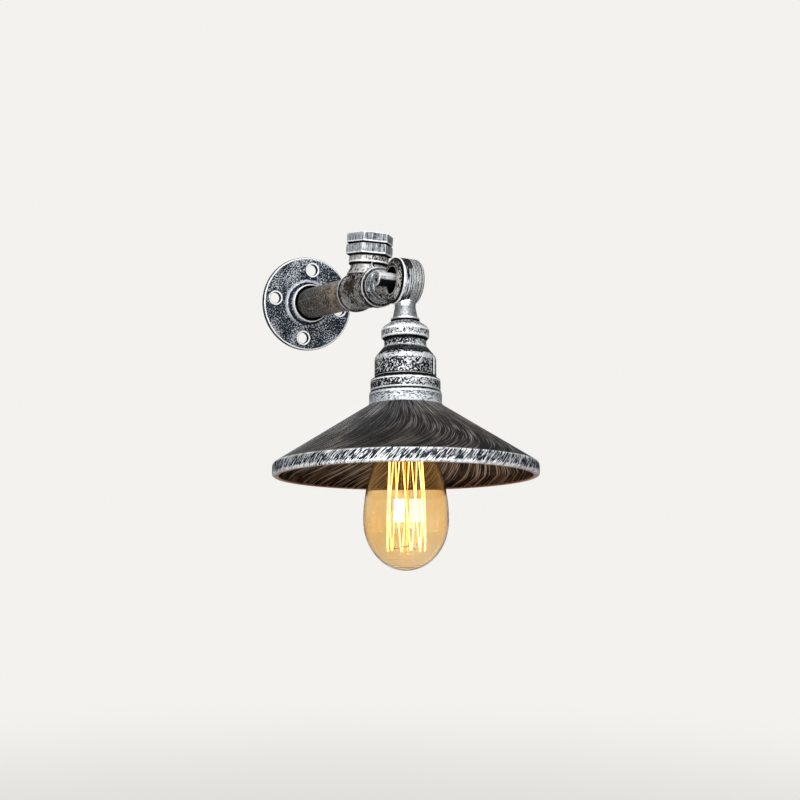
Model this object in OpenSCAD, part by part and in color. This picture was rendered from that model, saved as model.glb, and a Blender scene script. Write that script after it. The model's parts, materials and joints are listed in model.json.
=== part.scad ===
// Rustic wall light: cast flange, pipe arm with a tee, tilting knuckle, lampholder, conical shade, bulb.
// Millimetres. The origin is the centre of the flange's back face. The arm runs along -Y, +Z is up.

/* [Wall flange] */
// Diameter of the wall flange
flange_d = 85; // [82:1:100]
// Thickness of the flange plate
flange_t = 5; // [4:0.5:7]
// Distance from the wall to the face of the hub
hub_reach = 14; // [13:0.5:20]
// Metal round the pipe at the hub's bead
hub_wall = 3.6; // [3:0.1:4.5]
// Spread of the hub's foot beyond its bead
hub_foot = 3; // [2:0.5:4]
// Width of the countersink round the pipe in the hub's face
mouth_w = 1.6; // [0.8:0.1:1.8]
// Depth of that countersink
mouth_depth = 2.6; // [1:0.1:3]
// Diameter of the screw hole circle
hole_circle_d = 63; // [61:0.5:66]
// Diameter of each screw hole
hole_d = 10; // [6:0.5:11]
// Number of screw holes
hole_count = 4; // [3:1:5]
// Turn of the screw holes from the vertical, clockwise seen from the front
hole_turn = 7.5; // [0:0.5:45]

/* [Arm] */
// Outside diameter of the pipe, and of the threads that screw into the tee
pipe_d = 26.9; // [26:0.1:27.5]
// Wall of the pipe
pipe_wall = 2.6; // [2:0.1:3.5]
// Gap between the wall and the end of the pipe
pipe_gap = 1.5; // [1:0.5:4]
// Distance from the wall to the middle of the tee
tee_at = 138.5; // [110:0.5:200]
// Clockwise turn of the tee and all in front of it, seen from the front
arm_roll = 3; // [0:0.5:10]
// Depth of the threads in the tee
thread_depth = 12; // [9:0.5:14]

/* [Tee] */
// Distance from the tee's middle to each end of its run
tee_half = 26; // [24:0.5:34]
// Distance from the run's axis to the face of the branch
branch_reach = 28; // [26:0.5:34]
// Diameter of the bands round the tee's ends
band_d = 32.6; // [32:0.2:36]
// Width of each band
band_w = 8; // [5:0.5:9]
// Diameter of the run between its bands
run_d = 30; // [29.6:0.1:31]
// Diameter of the branch under its band
branch_d = 29.4; // [29:0.1:29.5]
// Rise of the flare at the branch's root
root_rise = 6; // [4:0.5:8]
// Diameter of the passage through the tee
passage_d = 21; // [18:0.5:23]

/* [Hexagons] */
// Width across flats of the two hexagons on the branch
branch_af = 33.8; // [32:0.2:36]
// Height of the lower hexagon
bushing_h = 8.2; // [6:0.2:12]
// Height of the upper hexagon
plug_h = 7.6; // [6:0.2:12]
// Thickness of the gasket between them
gasket_h = 1.2; // [0.8:0.1:2]
// Diameter of the plug's thread
plug_d = 19; // [16:0.5:20]
// Width across flats of the front hexagon
front_af = 23; // [21:0.5:24]
// Reach of the front hexagon beyond the tee
front_h = 5; // [4:0.5:8]
// Turn of the lower hexagon's corners
bushing_turn = 48; // [0:1:60]
// Turn of the upper hexagon's corners
plug_turn = 51; // [0:1:60]
// Turn of the front hexagon's corners
front_turn = 19; // [0:1:60]

/* [Knuckle] */
// Distance from the tee's front face to the tilt axis
pivot_reach = 41.5; // [40:0.5:50]
// Diameter of the round collar behind the cup
collar_d = 21.6; // [19:0.2:22.4]
// Length of that collar
collar_w = 3.5; // [2:0.5:6]
// Groove between the front hexagon and the collar
collar_gap = 1.5; // [1:0.1:3]
// Diameter of the threaded shank in the front hexagon
shank_d = 16; // [14:0.5:17]
// Diameter of the wire passage in the shank
shank_bore_d = 10; // [9:0.5:11]
// Diameter of the tenon between the collar and the cup
tenon_d = 18; // [17:0.5:18.5]
// Height of the tenon between its flats
tenon_h = 14; // [12:0.5:14.5]
// Diameter of the drum
drum_d = 36; // [34.6:0.2:40]
// Width of the drum along the tilt axis
drum_w = 18; // [17:0.5:22]
// Distance from the arm's axis to the drum's open rim
rim_offset = 7; // [6.5:0.1:7.5]
// Thickness of the drum's closed end
end_wall = 3.4; // [3:0.1:4.5]
// Radius on the drum's closed end
drum_round = 3; // [1:0.5:3]
// Number of turned grooves round the drum
groove_count = 3; // [1:1:3]
// Diameter of the barrel inside the drum
barrel_d = 29; // [28:0.1:30]
// Diameter of the cup's face
cup_d = 28.4; // [27.6:0.2:32]
// Diameter of the cup's flared back edge
flare_d = 35; // [33:0.2:36]
// Width of the flare
flare_w = 2.2; // [1.5:0.1:3]
// Gap between the flare and the drum's rim
flare_gap = 1; // [0.5:0.1:1.5]
// Diameter of the recess round the bolt's head
recess_d = 21.6; // [20:0.2:23]
// Depth of that recess
recess_depth = 8; // [6:0.2:8.2]
// Diameter of the wire chamber inside the barrel
chamber_d = 23; // [21:0.5:24]
// Tilt of the lamp forward of straight down, as it hangs in the photo
head_tilt = 8; // [0:1:15]
// Tilt that the lamp can make forward from there
tilt_forward = 60; // [30:1:60]
// Tilt that the lamp can make back towards the wall
tilt_back = 35; // [10:1:35]

/* [Clamp bolt] */
// Diameter of the bolt's head
bolt_head_d = 11; // [9:0.5:14]
// Reach of the head beyond the cup's face
bolt_reach = 12; // [6:0.5:16]
// Diameter of the bolt's shank
bolt_d = 6; // [5:0.5:7]
// Width across flats of the socket in its head
bolt_socket_af = 5; // [4:0.5:6]
// Depth of that socket
bolt_socket_depth = 4; // [3:0.5:6]
// Thickness of the spring washer under the head
spring_t = 1.2; // [0.8:0.1:1.6]
// Thickness of the friction washer in the drum
friction_t = 1; // [0.6:0.1:1.2]

/* [Lampholder] */
// Distance from the tilt axis to the stem's collar
stem_reach = 29.2; // [27:0.1:36]
// Diameter of the stem's waist
stem_d = 16; // [14:0.2:17]
// Diameter of the stem's collar
stem_collar_d = 22.2; // [21:0.2:24]
// Thickness of the stem's collar
stem_collar_t = 2.1; // [1.5:0.1:3]
// Diameter of the stem's thread
stem_thread_d = 10; // [9:0.5:11]
// Diameter of the wire passage in the stem
stem_bore_d = 7; // [6:0.1:7.4]
// Height of the holder's cap
cap_h = 14; // [11:0.2:16]
// Diameter of the holder's cap
cap_d = 36.6; // [35.4:0.2:40]
// Diameter of the flat boss on the cap
boss_d = 19.6; // [18:0.2:21]
// Diameter of the holder's neck
neck_d = 32.2; // [31.6:0.2:34]
// Height of the neck below the cap
neck_h = 5.8; // [5:0.2:12]
// Height of the sloped shoulder
shoulder_h = 9; // [7:0.5:11]
// Diameter of the holder's body
body_d = 47; // [42:0.2:52]
// Height of the body below its shoulder
body_h = 15.4; // [11:0.2:22]
// Length of the socket's screw shell
shell_len = 21; // [20:0.5:23]
// Turn of the cast rib on the body, from the right towards the front
rib_turn = 52; // [0:1:90]
// Width of that rib
rib_w = 1.4; // [1:0.1:2]
// Height of that rib
rib_h = 0.8; // [0.5:0.1:1]
// Step from the body in to its threaded skirt
skirt_step = 2; // [1.7:0.1:2.2]
// Wall of the threaded skirt
skirt_wall = 1.5; // [1.2:0.1:1.8]
// Reach of the band above the shade beyond the body
band_reach = 3.1; // [2:0.1:4]
// Height of the band above the shade
band_ring_h = 10.7; // [8:0.1:14]

/* [Shade] */
// Diameter of the shade's rim
shade_d = 200; // [160:1:240]
// Thickness of the shade's metal
shade_wall = 1.2; // [0.8:0.1:1.6]
// Reach of the shade's collar beyond the band
collar_reach = 1; // [0.7:0.1:2]
// Height of the shade's collar
shade_collar_h = 10.4; // [8.6:0.1:14]
// Height of the cone
cone_h = 45.5; // [40:0.5:80]
// Height of the rim's upright band
rim_h = 9; // [7:0.5:14]
// Width of the lip turned in under the rim
lip_w = 4.5; // [3.5:0.5:8]
// Radius between the cone and the rim
rim_round = 4; // [3:0.5:6]

/* [Bulb] */
// Greatest diameter of the bulb
bulb_d = 64; // [60:1:80]
// Length of the glass from its cap to its bottom
glass_len = 115.5; // [105:0.5:125]
// Height of the round end below the greatest diameter
bulb_end_h = 37.5; // [32:0.5:42]
// Diameter of the glass where it leaves the cap
bulb_neck_d = 26; // [25.4:0.2:27]
// Thickness of the glass
glass_wall = 1; // [0.8:0.1:1.4]
// Diameter of the bulb's screw cap
bulb_cap_d = 26; // [25.6:0.1:26.2]
// Length of the bulb's cap with its contact
bulb_cap_len = 27; // [25:0.5:28]
// Number of upright runs of the filament
filament_runs = 12; // [6:2:16]
// Distance from the cap to the top of the filament's cage
cage_drop = 26; // [22:0.5:32]
// Distance from the cage's bottom to the bottom of the glass
cage_clear = 16; // [14:0.5:24]
// Diameter of the filament's cage at its top
cage_top_d = 24; // [12:0.5:26]
// Diameter of the filament's cage at its bottom
cage_bottom_d = 29; // [18:0.5:30]
// Thickness of the filament
filament_d = 0.9; // [0.7:0.1:1.2]
// Thickness of the support wires
support_d = 0.9; // [0.7:0.1:1.2]

/* [Wires] */
// Diameter of each insulated core
core_d = 1.9; // [1.4:0.1:2]
// Spacing of the cores in the arm
core_pitch = 2.3; // [2.1:0.1:2.4]

/* [Hidden] */
$fn = 96;

// Clearances
running_gap = 0.05;
static_gap = 0.2;
cut = 1;

// Colours
black_iron = "#2e2c2b";
brown_iron = "#4a4038";
bright_iron = "#a9adb2";
grey_iron = "#6b7078";
brass_gold = "#b8923c";

// Arm
pipe_r = pipe_d / 2;
pipe_bore_r = pipe_r - pipe_wall;
passage_r = passage_d / 2;
tee_back = tee_at - tee_half;
tee_front = tee_at + tee_half;
pivot_at = tee_front + pivot_reach;
bead_r = pipe_r + hub_wall;
foot_r = bead_r + hub_foot;
front_face = tee_front + front_h;
bushing_top = branch_reach + bushing_h;
plug_base = bushing_top + gasket_h;

// Knuckle, with X measured along the tilt axis from the arm's axis
drum_r = drum_d / 2;
barrel_r = barrel_d / 2;
drum_bore_r = barrel_r + running_gap;
drum_left = -rim_offset;
drum_right = drum_left + drum_w;
drum_inner = drum_right - end_wall;
lamp_x = (drum_left + drum_right) / 2;
flare_back = drum_left - flare_gap;
cup_face = flare_back - flare_w;
recess_floor = cup_face + recess_depth;
web_t = 2.4;
chamber_left = recess_floor + web_t;
barrel_right = drum_inner - friction_t - 2 * running_gap;
bolt_r = bolt_d / 2;
boss_r = bolt_r + 3;
boss_left = chamber_left + 2.4;
bolt_tip = drum_right - 1.8;
bolt_seat = recess_floor - spring_t - running_gap;
bolt_left = cup_face - bolt_reach;
tenon_right = 4.5;
channel_w = core_d + 1.1;
channel_h = 2 * core_pitch + core_d + 0.8;
channel_x = chamber_left + 0.4;
core_x = channel_x + channel_w / 2;
collar_back = front_face + collar_gap;
collar_front = collar_back + collar_w;
tenon_angle = asin(tenon_h / 2 / barrel_r);
stop_gap = 1;
notch_from = 90 + head_tilt - tilt_back - tenon_angle - stop_gap;
notch_to = 90 + head_tilt + tilt_forward + tenon_angle + stop_gap;
slot_margin = 20;

// Lampholder, with heights measured down the lamp's axis from the tilt axis
stem_thread_r = stem_thread_d / 2;
cap_top = stem_reach + stem_collar_t;
cap_bottom = cap_top + cap_h;
neck_bottom = cap_bottom + neck_h;
body_top = neck_bottom + shoulder_h;
body_bottom = body_top + body_h;
cap_ceiling = cap_top + 5.6;
cap_wall = 2.4;
cap_inner_r = cap_d / 2 - cap_wall;
neck_bore_r = neck_d / 2 - 3;
locknut_h = 3;
core_top = body_top - 1;
skirt_r = body_d / 2 - skirt_step;
skirt_bore_r = skirt_r - skirt_wall;
ring_bottom = body_bottom + band_ring_h;
shade_hole_r = skirt_r + static_gap;
cone_top = ring_bottom + shade_collar_h;
cone_bottom = cone_top + cone_h;
rim_bottom = cone_bottom + rim_h;
band_r = body_d / 2 + band_reach;
shade_collar_r = band_r + collar_reach;
shade_r = shade_d / 2;
contact_at = body_bottom + 2.7;
contact_t = 0.8;
socket_floor = contact_at - static_gap - contact_t;
bulb_cap_r = bulb_cap_d / 2;
insulator_r = 7;
shell_inner_r = bulb_cap_r + 0.35;
shell_wall = 0.8;
shell_r = shell_inner_r + shell_wall;
shell_bottom = contact_at + shell_len;
core_bottom = shell_bottom + 1;
retainer_h = 3;
skirt_bottom = core_bottom + retainer_h;
core_r = skirt_bore_r - static_gap;
rivet_r = 1.4;
live_r = 5;
screw_r = 1.5;
wire_hole_r = core_d / 2 + 0.15;
earth_x = -10.6;
earth_r = 1.6;
clamp_ring_r = shade_collar_r - shade_wall - 1;
clamp_ring_h = 5;
block_x = 9;
block_w = 7;
block_h = 8;
block_y = 7;
block_gap = 0.2;
terminal_at = core_top + 5;
glass_top = contact_at + bulb_cap_len;
bulb_bottom = glass_top + glass_len;
bulb_equator = bulb_bottom - bulb_end_h;
cage_top = glass_top + cage_drop;
cage_bottom = bulb_bottom - cage_clear;

// Direction of a vector
function unit(v) = v / norm(v);

// Arc that rounds the corner b between a and c
function corner(a, b, c, r, steps) =
    let (
        u = unit(a - b),
        v = unit(c - b),
        half = acos(max(-1, min(1, u * v))) / 2,
        centre = b + unit(u + v) * r / sin(half),
        first = b + u * r / tan(half) - centre,
        last = b + v * r / tan(half) - centre,
        from = atan2(first.y, first.x),
        sweep = (atan2(last.y, last.x) - from + 540) % 360 - 180
    )
    [for (i = [0:steps]) centre + r * [cos(from + sweep * i / steps), sin(from + sweep * i / steps)]];

// Open outline whose corners are rounded by the radii beside them
function rounded(points, radii, steps = 6) = [
    for (i = [0:len(points) - 1])
        each (radii[i] > 0 ? corner(points[i - 1], points[i], points[i + 1], radii[i], steps) : [points[i]])
];

// Normal on the left of an outline's segment
function left_of(path, i) = let (d = unit(path[i + 1] - path[i])) [-d.y, d.x];

// Outline shifted to its left by a wall
function shifted(path, wall) = [
    for (i = [0:len(path) - 1])
        let (
            before = left_of(path, max(i - 1, 0)),
            after = left_of(path, min(i, len(path) - 2)),
            middle = unit(before + after)
        )
        path[i] + middle * wall / (middle * before)
];

// Closed section of a sheet that follows an outline
function sheet(path, wall) =
    let (inner = shifted(path, wall))
    concat(path, [for (i = [len(inner) - 1:-1:0]) inner[i]]);

// Circle of points round a path's point, for a tube
function tube_ring(path, i, r, sides) =
    let (
        ahead = path[min(i + 1, len(path) - 1)],
        behind = path[max(i - 1, 0)],
        along = unit(ahead - behind),
        side = unit(cross(along, [1, 0.37, 0.11])),
        up = cross(along, side)
    )
    [for (k = [0:sides - 1]) path[i] + r * (cos(360 * k / sides) * side + sin(360 * k / sides) * up)];

// Solid of revolution about Z, from points of radius and height
module turned(points) {
    rotate_extrude() polygon(points);
}

// Round bar along Z between two heights
module bar(r, from, to) {
    translate([0, 0, from]) cylinder(r = r, h = to - from);
}

// Tube along Z between two heights
module sleeve(r, bore_r, from, to) {
    difference() {
        bar(r, from, to);
        bar(bore_r, from - cut, to + cut);
    }
}

// Hexagon along Z whose corners are chamfered at both ends
module hexagon(across, height, chamfer = 1) {
    corner_r = across / 2 / cos(30);
    edge_r = corner_r - chamfer;
    intersection() {
        cylinder(r = corner_r, h = height, $fn = 6);
        turned([
            [0, 0], [edge_r, 0], [corner_r + chamfer, chamfer * 1.2],
            [corner_r + chamfer, height - chamfer * 1.2], [edge_r, height], [0, height]
        ]);
    }
}

// Tube of flat sides along a path
module tube(path, r, sides = 6) {
    rings = len(path);
    points = [for (i = [0:rings - 1]) each tube_ring(path, i, r, sides)];
    walls = [
        for (i = [0:rings - 2], k = [0:sides - 1])
            let (a = i * sides + k, b = i * sides + (k + 1) % sides)
            each [[a, b, b + sides], [a, b + sides, a + sides]]
    ];
    last = (rings - 1) * sides;
    ends = [for (k = [1:sides - 2]) each [[0, k + 1, k], [last, last + k, last + k + 1]]];
    polyhedron(points = points, faces = concat(walls, ends));
}

// Frames: Z along the arm, the arm turned by its roll, the tilt axis, and the hanging lamp
module along_arm() {
    rotate([90, 0, 0]) children();
}

module in_arm() {
    rotate([0, arm_roll, 0]) children();
}

module at_pivot() {
    in_arm() translate([0, -pivot_at, 0]) children();
}

module along_hinge() {
    rotate([0, 90, 0]) children();
}

module in_head() {
    at_pivot() rotate([-head_tilt, 0, 0]) children();
}

module down_lamp() {
    in_head() translate([lamp_x, 0, 0]) rotate([180, 0, 0]) children();
}

module wall_flange() {
    hole_chamfer = 0.6;
    waist_r = bead_r - 0.9;
    waist_at = hub_reach - 5;
    outline = rounded(
        [
            [pipe_r, 0], [flange_d / 2, 0], [flange_d / 2, flange_t], [foot_r, flange_t],
            [waist_r, waist_at], [bead_r, waist_at + 1.4], [bead_r, hub_reach],
            [pipe_r + mouth_w, hub_reach], [pipe_r, hub_reach - mouth_depth]
        ],
        [0, 0.8, 1.4, 1.6, 1.2, 0.6, 1, 0, 0]
    );
    color(grey_iron) along_arm() difference() {
        turned(outline);
        for (i = [0:hole_count - 1])
            rotate([0, 0, 90 - hole_turn + 360 * i / hole_count]) translate([hole_circle_d / 2, 0, 0]) {
                bar(hole_d / 2, -cut, flange_t + cut);
                translate([0, 0, flange_t - hole_chamfer])
                    cylinder(r1 = hole_d / 2, r2 = hole_d / 2 + hole_chamfer + cut, h = hole_chamfer + cut);
            }
    }
}

module arm_pipe() {
    color(brown_iron) along_arm() sleeve(pipe_r, pipe_bore_r, pipe_gap, tee_back + thread_depth);
}

// Band round one end of the tee, from its face inwards
module tee_band(face) {
    band_r = band_d / 2;
    turned(rounded(
        [[0, face], [band_r, face], [band_r, face - band_w], [0, face - band_w - 1.2]],
        [0, 1, 1, 0]
    ));
}

module pipe_tee() {
    root_z = run_d / 2 - 3;
    color(brown_iron) in_arm() translate([0, -tee_at, 0]) difference() {
        union() {
            along_arm() {
                bar(run_d / 2, -tee_half + 1, tee_half - 1);
                tee_band(tee_half);
                mirror([0, 0, 1]) tee_band(tee_half);
            }
            bar(branch_d / 2, 0, branch_reach - 1);
            translate([0, 0, root_z])
                cylinder(r1 = branch_d / 2 + root_rise * 0.45, r2 = branch_d / 2 - 0.1, h = root_rise);
            tee_band(branch_reach);
        }
        along_arm() {
            bar(passage_r, -tee_half - cut, tee_half + cut);
            bar(pipe_r, -tee_half - cut, -tee_half + thread_depth);
            bar(pipe_r, tee_half - thread_depth, tee_half + cut);
        }
        bar(passage_r - 0.4, 0, branch_reach + cut);
        bar(pipe_r, branch_reach - thread_depth, branch_reach + cut);
    }
}

module branch_bushing() {
    thread_end = branch_reach - thread_depth + 1;
    color(bright_iron) in_arm() translate([0, -tee_at, 0]) difference() {
        union() {
            bar(pipe_r, thread_end, branch_reach + cut);
            translate([0, 0, branch_reach]) rotate([0, 0, bushing_turn]) hexagon(branch_af, bushing_h);
        }
        bar(plug_d / 2, thread_end - cut, bushing_top + cut);
    }
}

module plug_gasket() {
    color("#171513") in_arm() translate([0, -tee_at, 0])
        sleeve(branch_af / 2 - 1.2, plug_d / 2, bushing_top, plug_base);
}

module branch_plug() {
    wall = 3;
    color(bright_iron) in_arm() translate([0, -tee_at, 0]) difference() {
        union() {
            bar(plug_d / 2, branch_reach - 2, plug_base + cut);
            translate([0, 0, plug_base]) rotate([0, 0, plug_turn]) hexagon(branch_af, plug_h);
        }
        bar(plug_d / 2 - wall, branch_reach - 2 - cut, plug_base + 2);
    }
}

module front_bushing() {
    color(bright_iron) in_arm() along_arm() difference() {
        union() {
            bar(pipe_r, tee_front - thread_depth + 1, tee_front);
            translate([0, 0, tee_front - cut]) rotate([0, 0, front_turn])
                hexagon(front_af, front_h + cut);
        }
        bar(shank_d / 2, tee_front - thread_depth, front_face + cut);
    }
}

// Fixed half of the knuckle: threaded shank, collar, tenon, and a barrel that ends in the cup
module knuckle_barrel() {
    shank_start = tee_front - thread_depth + 3;
    groove_r = shank_d / 2 + 1;
    chamber_reach = chamber_d / 2 - 2;
    color(black_iron) {
        difference() {
            union() {
                in_arm() along_arm() {
                    bar(shank_d / 2, shank_start, front_face + 0.1);
                    bar(groove_r, front_face, collar_back + 0.1);
                    turned(rounded(
                        [
                            [0, collar_back], [collar_d / 2, collar_back],
                            [collar_d / 2, collar_front], [0, collar_front]
                        ],
                        [0, 0.6, 1, 0]
                    ));
                }
                at_pivot() intersection() {
                    rotate([-90, 0, 0]) bar(tenon_d / 2, barrel_r - 3, pivot_at - collar_front + 0.5);
                    translate([-tenon_d, 0, -tenon_h / 2]) cube([tenon_d + tenon_right, pivot_at, tenon_h]);
                }
                at_pivot() along_hinge() turned([
                    [0, cup_face], [cup_d / 2 - 0.6, cup_face], [cup_d / 2, cup_face + 0.4],
                    [flare_d / 2, flare_back - 0.4], [flare_d / 2, flare_back], [barrel_r, flare_back],
                    [barrel_r, barrel_right], [0, barrel_right]
                ]);
            }
            at_pivot() along_hinge() {
                bar(recess_d / 2, cup_face - cut, recess_floor);
                bar(chamber_d / 2, chamber_left, barrel_right + cut);
                bar(bolt_r + 0.3, recess_floor - cut, chamber_left + cut);
                rotate([0, 0, -head_tilt - tilt_forward - slot_margin])
                    rotate_extrude(angle = tilt_forward + tilt_back + 2 * slot_margin)
                        translate([chamber_reach, channel_x]) square([barrel_r, 5]);
            }
            at_pivot() translate([channel_x, chamber_reach, -channel_h / 2])
                cube([channel_w, pivot_at - collar_front + 2 - chamber_reach, channel_h]);
            in_arm() along_arm() bar(shank_bore_d / 2, shank_start - cut, collar_front - 0.5);
        }
    }
}

// Moving half of the knuckle: a drum round the barrel, notched at the back where the tenon comes in
module swivel_drum() {
    groove_w = 0.7;
    groove_depth = 0.45;
    groove_first = lamp_x - 0.5;
    groove_pitch = 2.3;
    color(bright_iron) in_head() difference() {
        along_hinge() turned(concat(
            rounded(
                [
                    [bolt_r, boss_left], [boss_r, boss_left], [boss_r, drum_inner], [drum_bore_r, drum_inner],
                    [drum_bore_r, drum_left], [drum_r, drum_left], [drum_r, drum_right], [0, drum_right]
                ],
                [0, 0, 0, 0, 0, 0.6, drum_round, 0]
            ),
            [[0, bolt_tip + 0.4], [bolt_r, bolt_tip + 0.4]]
        ));
        along_hinge() rotate([0, 0, notch_from]) rotate_extrude(angle = notch_to - notch_from)
            translate([barrel_r - 1, drum_left - cut])
                square([drum_r - barrel_r + 3, tenon_right + 0.3 - drum_left + cut]);
        along_hinge() for (i = [0:groove_count - 1])
            rotate_extrude() translate([drum_r - groove_depth, groove_first + i * groove_pitch])
                square([cut, groove_w]);
        translate([lamp_x, 0, 0]) rotate([180, 0, 0]) bar(stem_thread_r, barrel_r - 3, drum_r + cut);
    }
}

module friction_washer() {
    color("#5b4a35") in_head() along_hinge()
        sleeve(barrel_r - 0.3, chamber_d / 2, drum_inner - friction_t, drum_inner);
}

module spring_washer() {
    color(bright_iron) at_pivot() along_hinge()
        sleeve(bolt_head_d / 2 + 1.5, bolt_r + 0.3, recess_floor - spring_t, recess_floor);
}

module clamp_bolt() {
    head_chamfer = 0.7;
    head_r = bolt_head_d / 2;
    shank_r = bolt_r - running_gap;
    color(bright_iron) in_head() along_hinge() difference() {
        turned([
            [0, bolt_left], [head_r - head_chamfer, bolt_left], [head_r, bolt_left + head_chamfer],
            [head_r, bolt_seat], [shank_r, bolt_seat], [shank_r, bolt_tip], [0, bolt_tip]
        ]);
        translate([0, 0, bolt_left - cut])
            cylinder(d = bolt_socket_af / cos(30), h = bolt_socket_depth + cut, $fn = 6);
    }
}

module stem_nipple() {
    spigot_top = barrel_r + 0.4;
    thread_end = cap_ceiling + locknut_h + 1.5;
    waist_r = stem_d / 2;
    collar_r = stem_collar_d / 2;
    waist_at = stem_reach * 0.7;
    color(bright_iron) down_lamp() difference() {
        union() {
            difference() {
                turned(rounded(
                    [
                        [0, drum_r - 6], [waist_r + 0.4, drum_r - 6], [waist_r, waist_at],
                        [waist_r + 1.2, stem_reach - 2.6], [waist_r + 1.6, stem_reach],
                        [collar_r, stem_reach], [collar_r, cap_top], [0, cap_top]
                    ],
                    [0, 0, 6, 1.5, 0, 0.6, 0.6, 0]
                ));
                translate([-lamp_x, 0, 0]) along_hinge() bar(drum_r, drum_left - cut, drum_right + cut);
            }
            bar(stem_thread_r, spigot_top, thread_end);
        }
        bar(stem_bore_d / 2, spigot_top - cut, thread_end + cut);
    }
}

module stem_locknut() {
    color(brass_gold) down_lamp() translate([0, 0, cap_ceiling]) difference() {
        hexagon(14, locknut_h, 0.5);
        bar(stem_thread_r, -cut, locknut_h + cut);
    }
}

module holder_cap() {
    ring_r = cap_d / 2;
    dome_foot = cap_top + 6.2;
    color(black_iron) down_lamp() difference() {
        turned(rounded(
            [
                [stem_thread_r, cap_top], [boss_d / 2, cap_top], [boss_d / 2, cap_top + 1.2],
                [boss_d / 2 + 2.6, cap_top + 1.6], [ring_r - 1, dome_foot - 1.2], [ring_r - 1, dome_foot],
                [ring_r, dome_foot + 0.4], [ring_r, cap_bottom - 1.2], [ring_r - 1.2, cap_bottom],
                [cap_inner_r, cap_bottom], [cap_inner_r, cap_ceiling], [stem_thread_r, cap_ceiling]
            ],
            [0, 0.4, 0, 2, 2.4, 0, 0.6, 0, 0, 0, 0, 0]
        ));
        translate([earth_x, 0, 0]) bar(earth_r, cap_ceiling - 2.6, cap_ceiling + cut);
    }
}

module earth_screw() {
    head_h = 1.8;
    head_r = 2.2;
    color(brass_gold) down_lamp() translate([earth_x, 0, 0]) difference() {
        union() {
            bar(earth_r, cap_ceiling - 2.4, cap_ceiling + 0.5);
            bar(head_r, cap_ceiling, cap_ceiling + head_h);
        }
        translate([-head_r - cut, -0.4, cap_ceiling + head_h - 0.7]) cube([2 * head_r + 2 * cut, 0.8, cut]);
    }
}

module holder_body() {
    neck_r = neck_d / 2;
    body_r = body_d / 2;
    spigot_top = cap_ceiling + locknut_h + 0.6;
    color(black_iron) down_lamp() {
        turned(rounded(
            [
                [neck_bore_r, spigot_top], [cap_inner_r, spigot_top], [cap_inner_r, cap_bottom],
                [neck_r, cap_bottom], [neck_r, neck_bottom], [body_r, body_top],
                [body_r, body_bottom - 0.6], [body_r - 0.6, body_bottom], [skirt_r, body_bottom],
                [skirt_r, skirt_bottom], [skirt_bore_r, skirt_bottom], [skirt_bore_r, core_top],
                [neck_bore_r, core_top]
            ],
            [0, 0, 0, 0, 4, 5, 0, 0, 0, 0, 0, 0, 0]
        ));
        rotate([0, 0, rib_turn]) intersection() {
            turned([
                [body_r - 1, body_top + 0.6], [body_r + rib_h, body_top + 2],
                [body_r + rib_h, body_bottom - 1], [body_r - 1, body_bottom - 1]
            ]);
            translate([neck_r, -rib_w / 2, neck_bottom]) cube([body_r, rib_w, body_bottom - neck_bottom]);
        }
    }
}

// Threaded band that the shade's collar is clamped against
module shade_ring() {
    color(black_iron) down_lamp() turned(rounded(
        [
            [skirt_r, body_bottom], [body_d / 2, body_bottom], [band_r, body_bottom + 2],
            [band_r, ring_bottom - 0.4], [band_r - 1, ring_bottom - 0.4], [band_r - 1, ring_bottom],
            [skirt_r, ring_bottom]
        ],
        [0, 0, 0.8, 0.4, 0, 0, 0]
    ));
}

module shade_clamp_ring() {
    ring_top = ring_bottom + shade_wall;
    color(grey_iron) down_lamp() sleeve(clamp_ring_r, skirt_r, ring_top, ring_top + clamp_ring_h);
}

// Outer line of the spun shade, from its hole to the lip under its rim
shade_line = rounded(
    [
        [shade_hole_r, ring_bottom], [shade_collar_r, ring_bottom], [shade_collar_r, cone_top],
        [shade_r, cone_bottom], [shade_r, rim_bottom], [shade_r - lip_w, rim_bottom]
    ],
    [0, 2, 4, rim_round, 1.6, 0]
);

module shade() {
    color(black_iron) down_lamp() turned(sheet(shade_line, shade_wall));
}

// Ceramic core with a pocket for the screw shell and two pockets for the terminal blocks
module socket_core() {
    color("#e9e5da") down_lamp() difference() {
        turned([
            [0, core_top], [core_r, core_top], [core_r, core_bottom], [shell_r, core_bottom],
            [shell_r, socket_floor], [0, socket_floor]
        ]);
        for (side = [-1, 1]) {
            translate([side * block_x - block_w / 2 - block_gap, -block_y / 2 - block_gap, core_top - cut])
                cube([block_w + 2 * block_gap, block_y + 2 * block_gap, block_h + cut]);
            translate([side * block_x, 0, 0]) bar(rivet_r, core_top, socket_floor + cut);
            translate([side * (block_x + block_w / 2), 0, terminal_at]) rotate([0, side * 90, 0])
                bar(2.6, 0, core_r);
        }
    }
}

module core_retainer() {
    color(grey_iron) down_lamp() sleeve(skirt_bore_r, shell_r - 0.2, core_bottom, skirt_bottom);
}

// Screw shell: a tube with a rim and a tongue on the socket's floor
module socket_shell() {
    rim_r = shell_inner_r - 1.8;
    tongue_from = block_x - rivet_r;
    color(brass_gold) down_lamp() {
        turned([
            [rim_r, socket_floor], [shell_r, socket_floor], [shell_r, core_bottom],
            [shell_inner_r, core_bottom], [shell_inner_r, socket_floor + shell_wall],
            [rim_r, socket_floor + shell_wall]
        ]);
        translate([tongue_from, -2, socket_floor]) cube([rim_r + 0.5 - tongue_from, 4, shell_wall]);
    }
}

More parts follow.
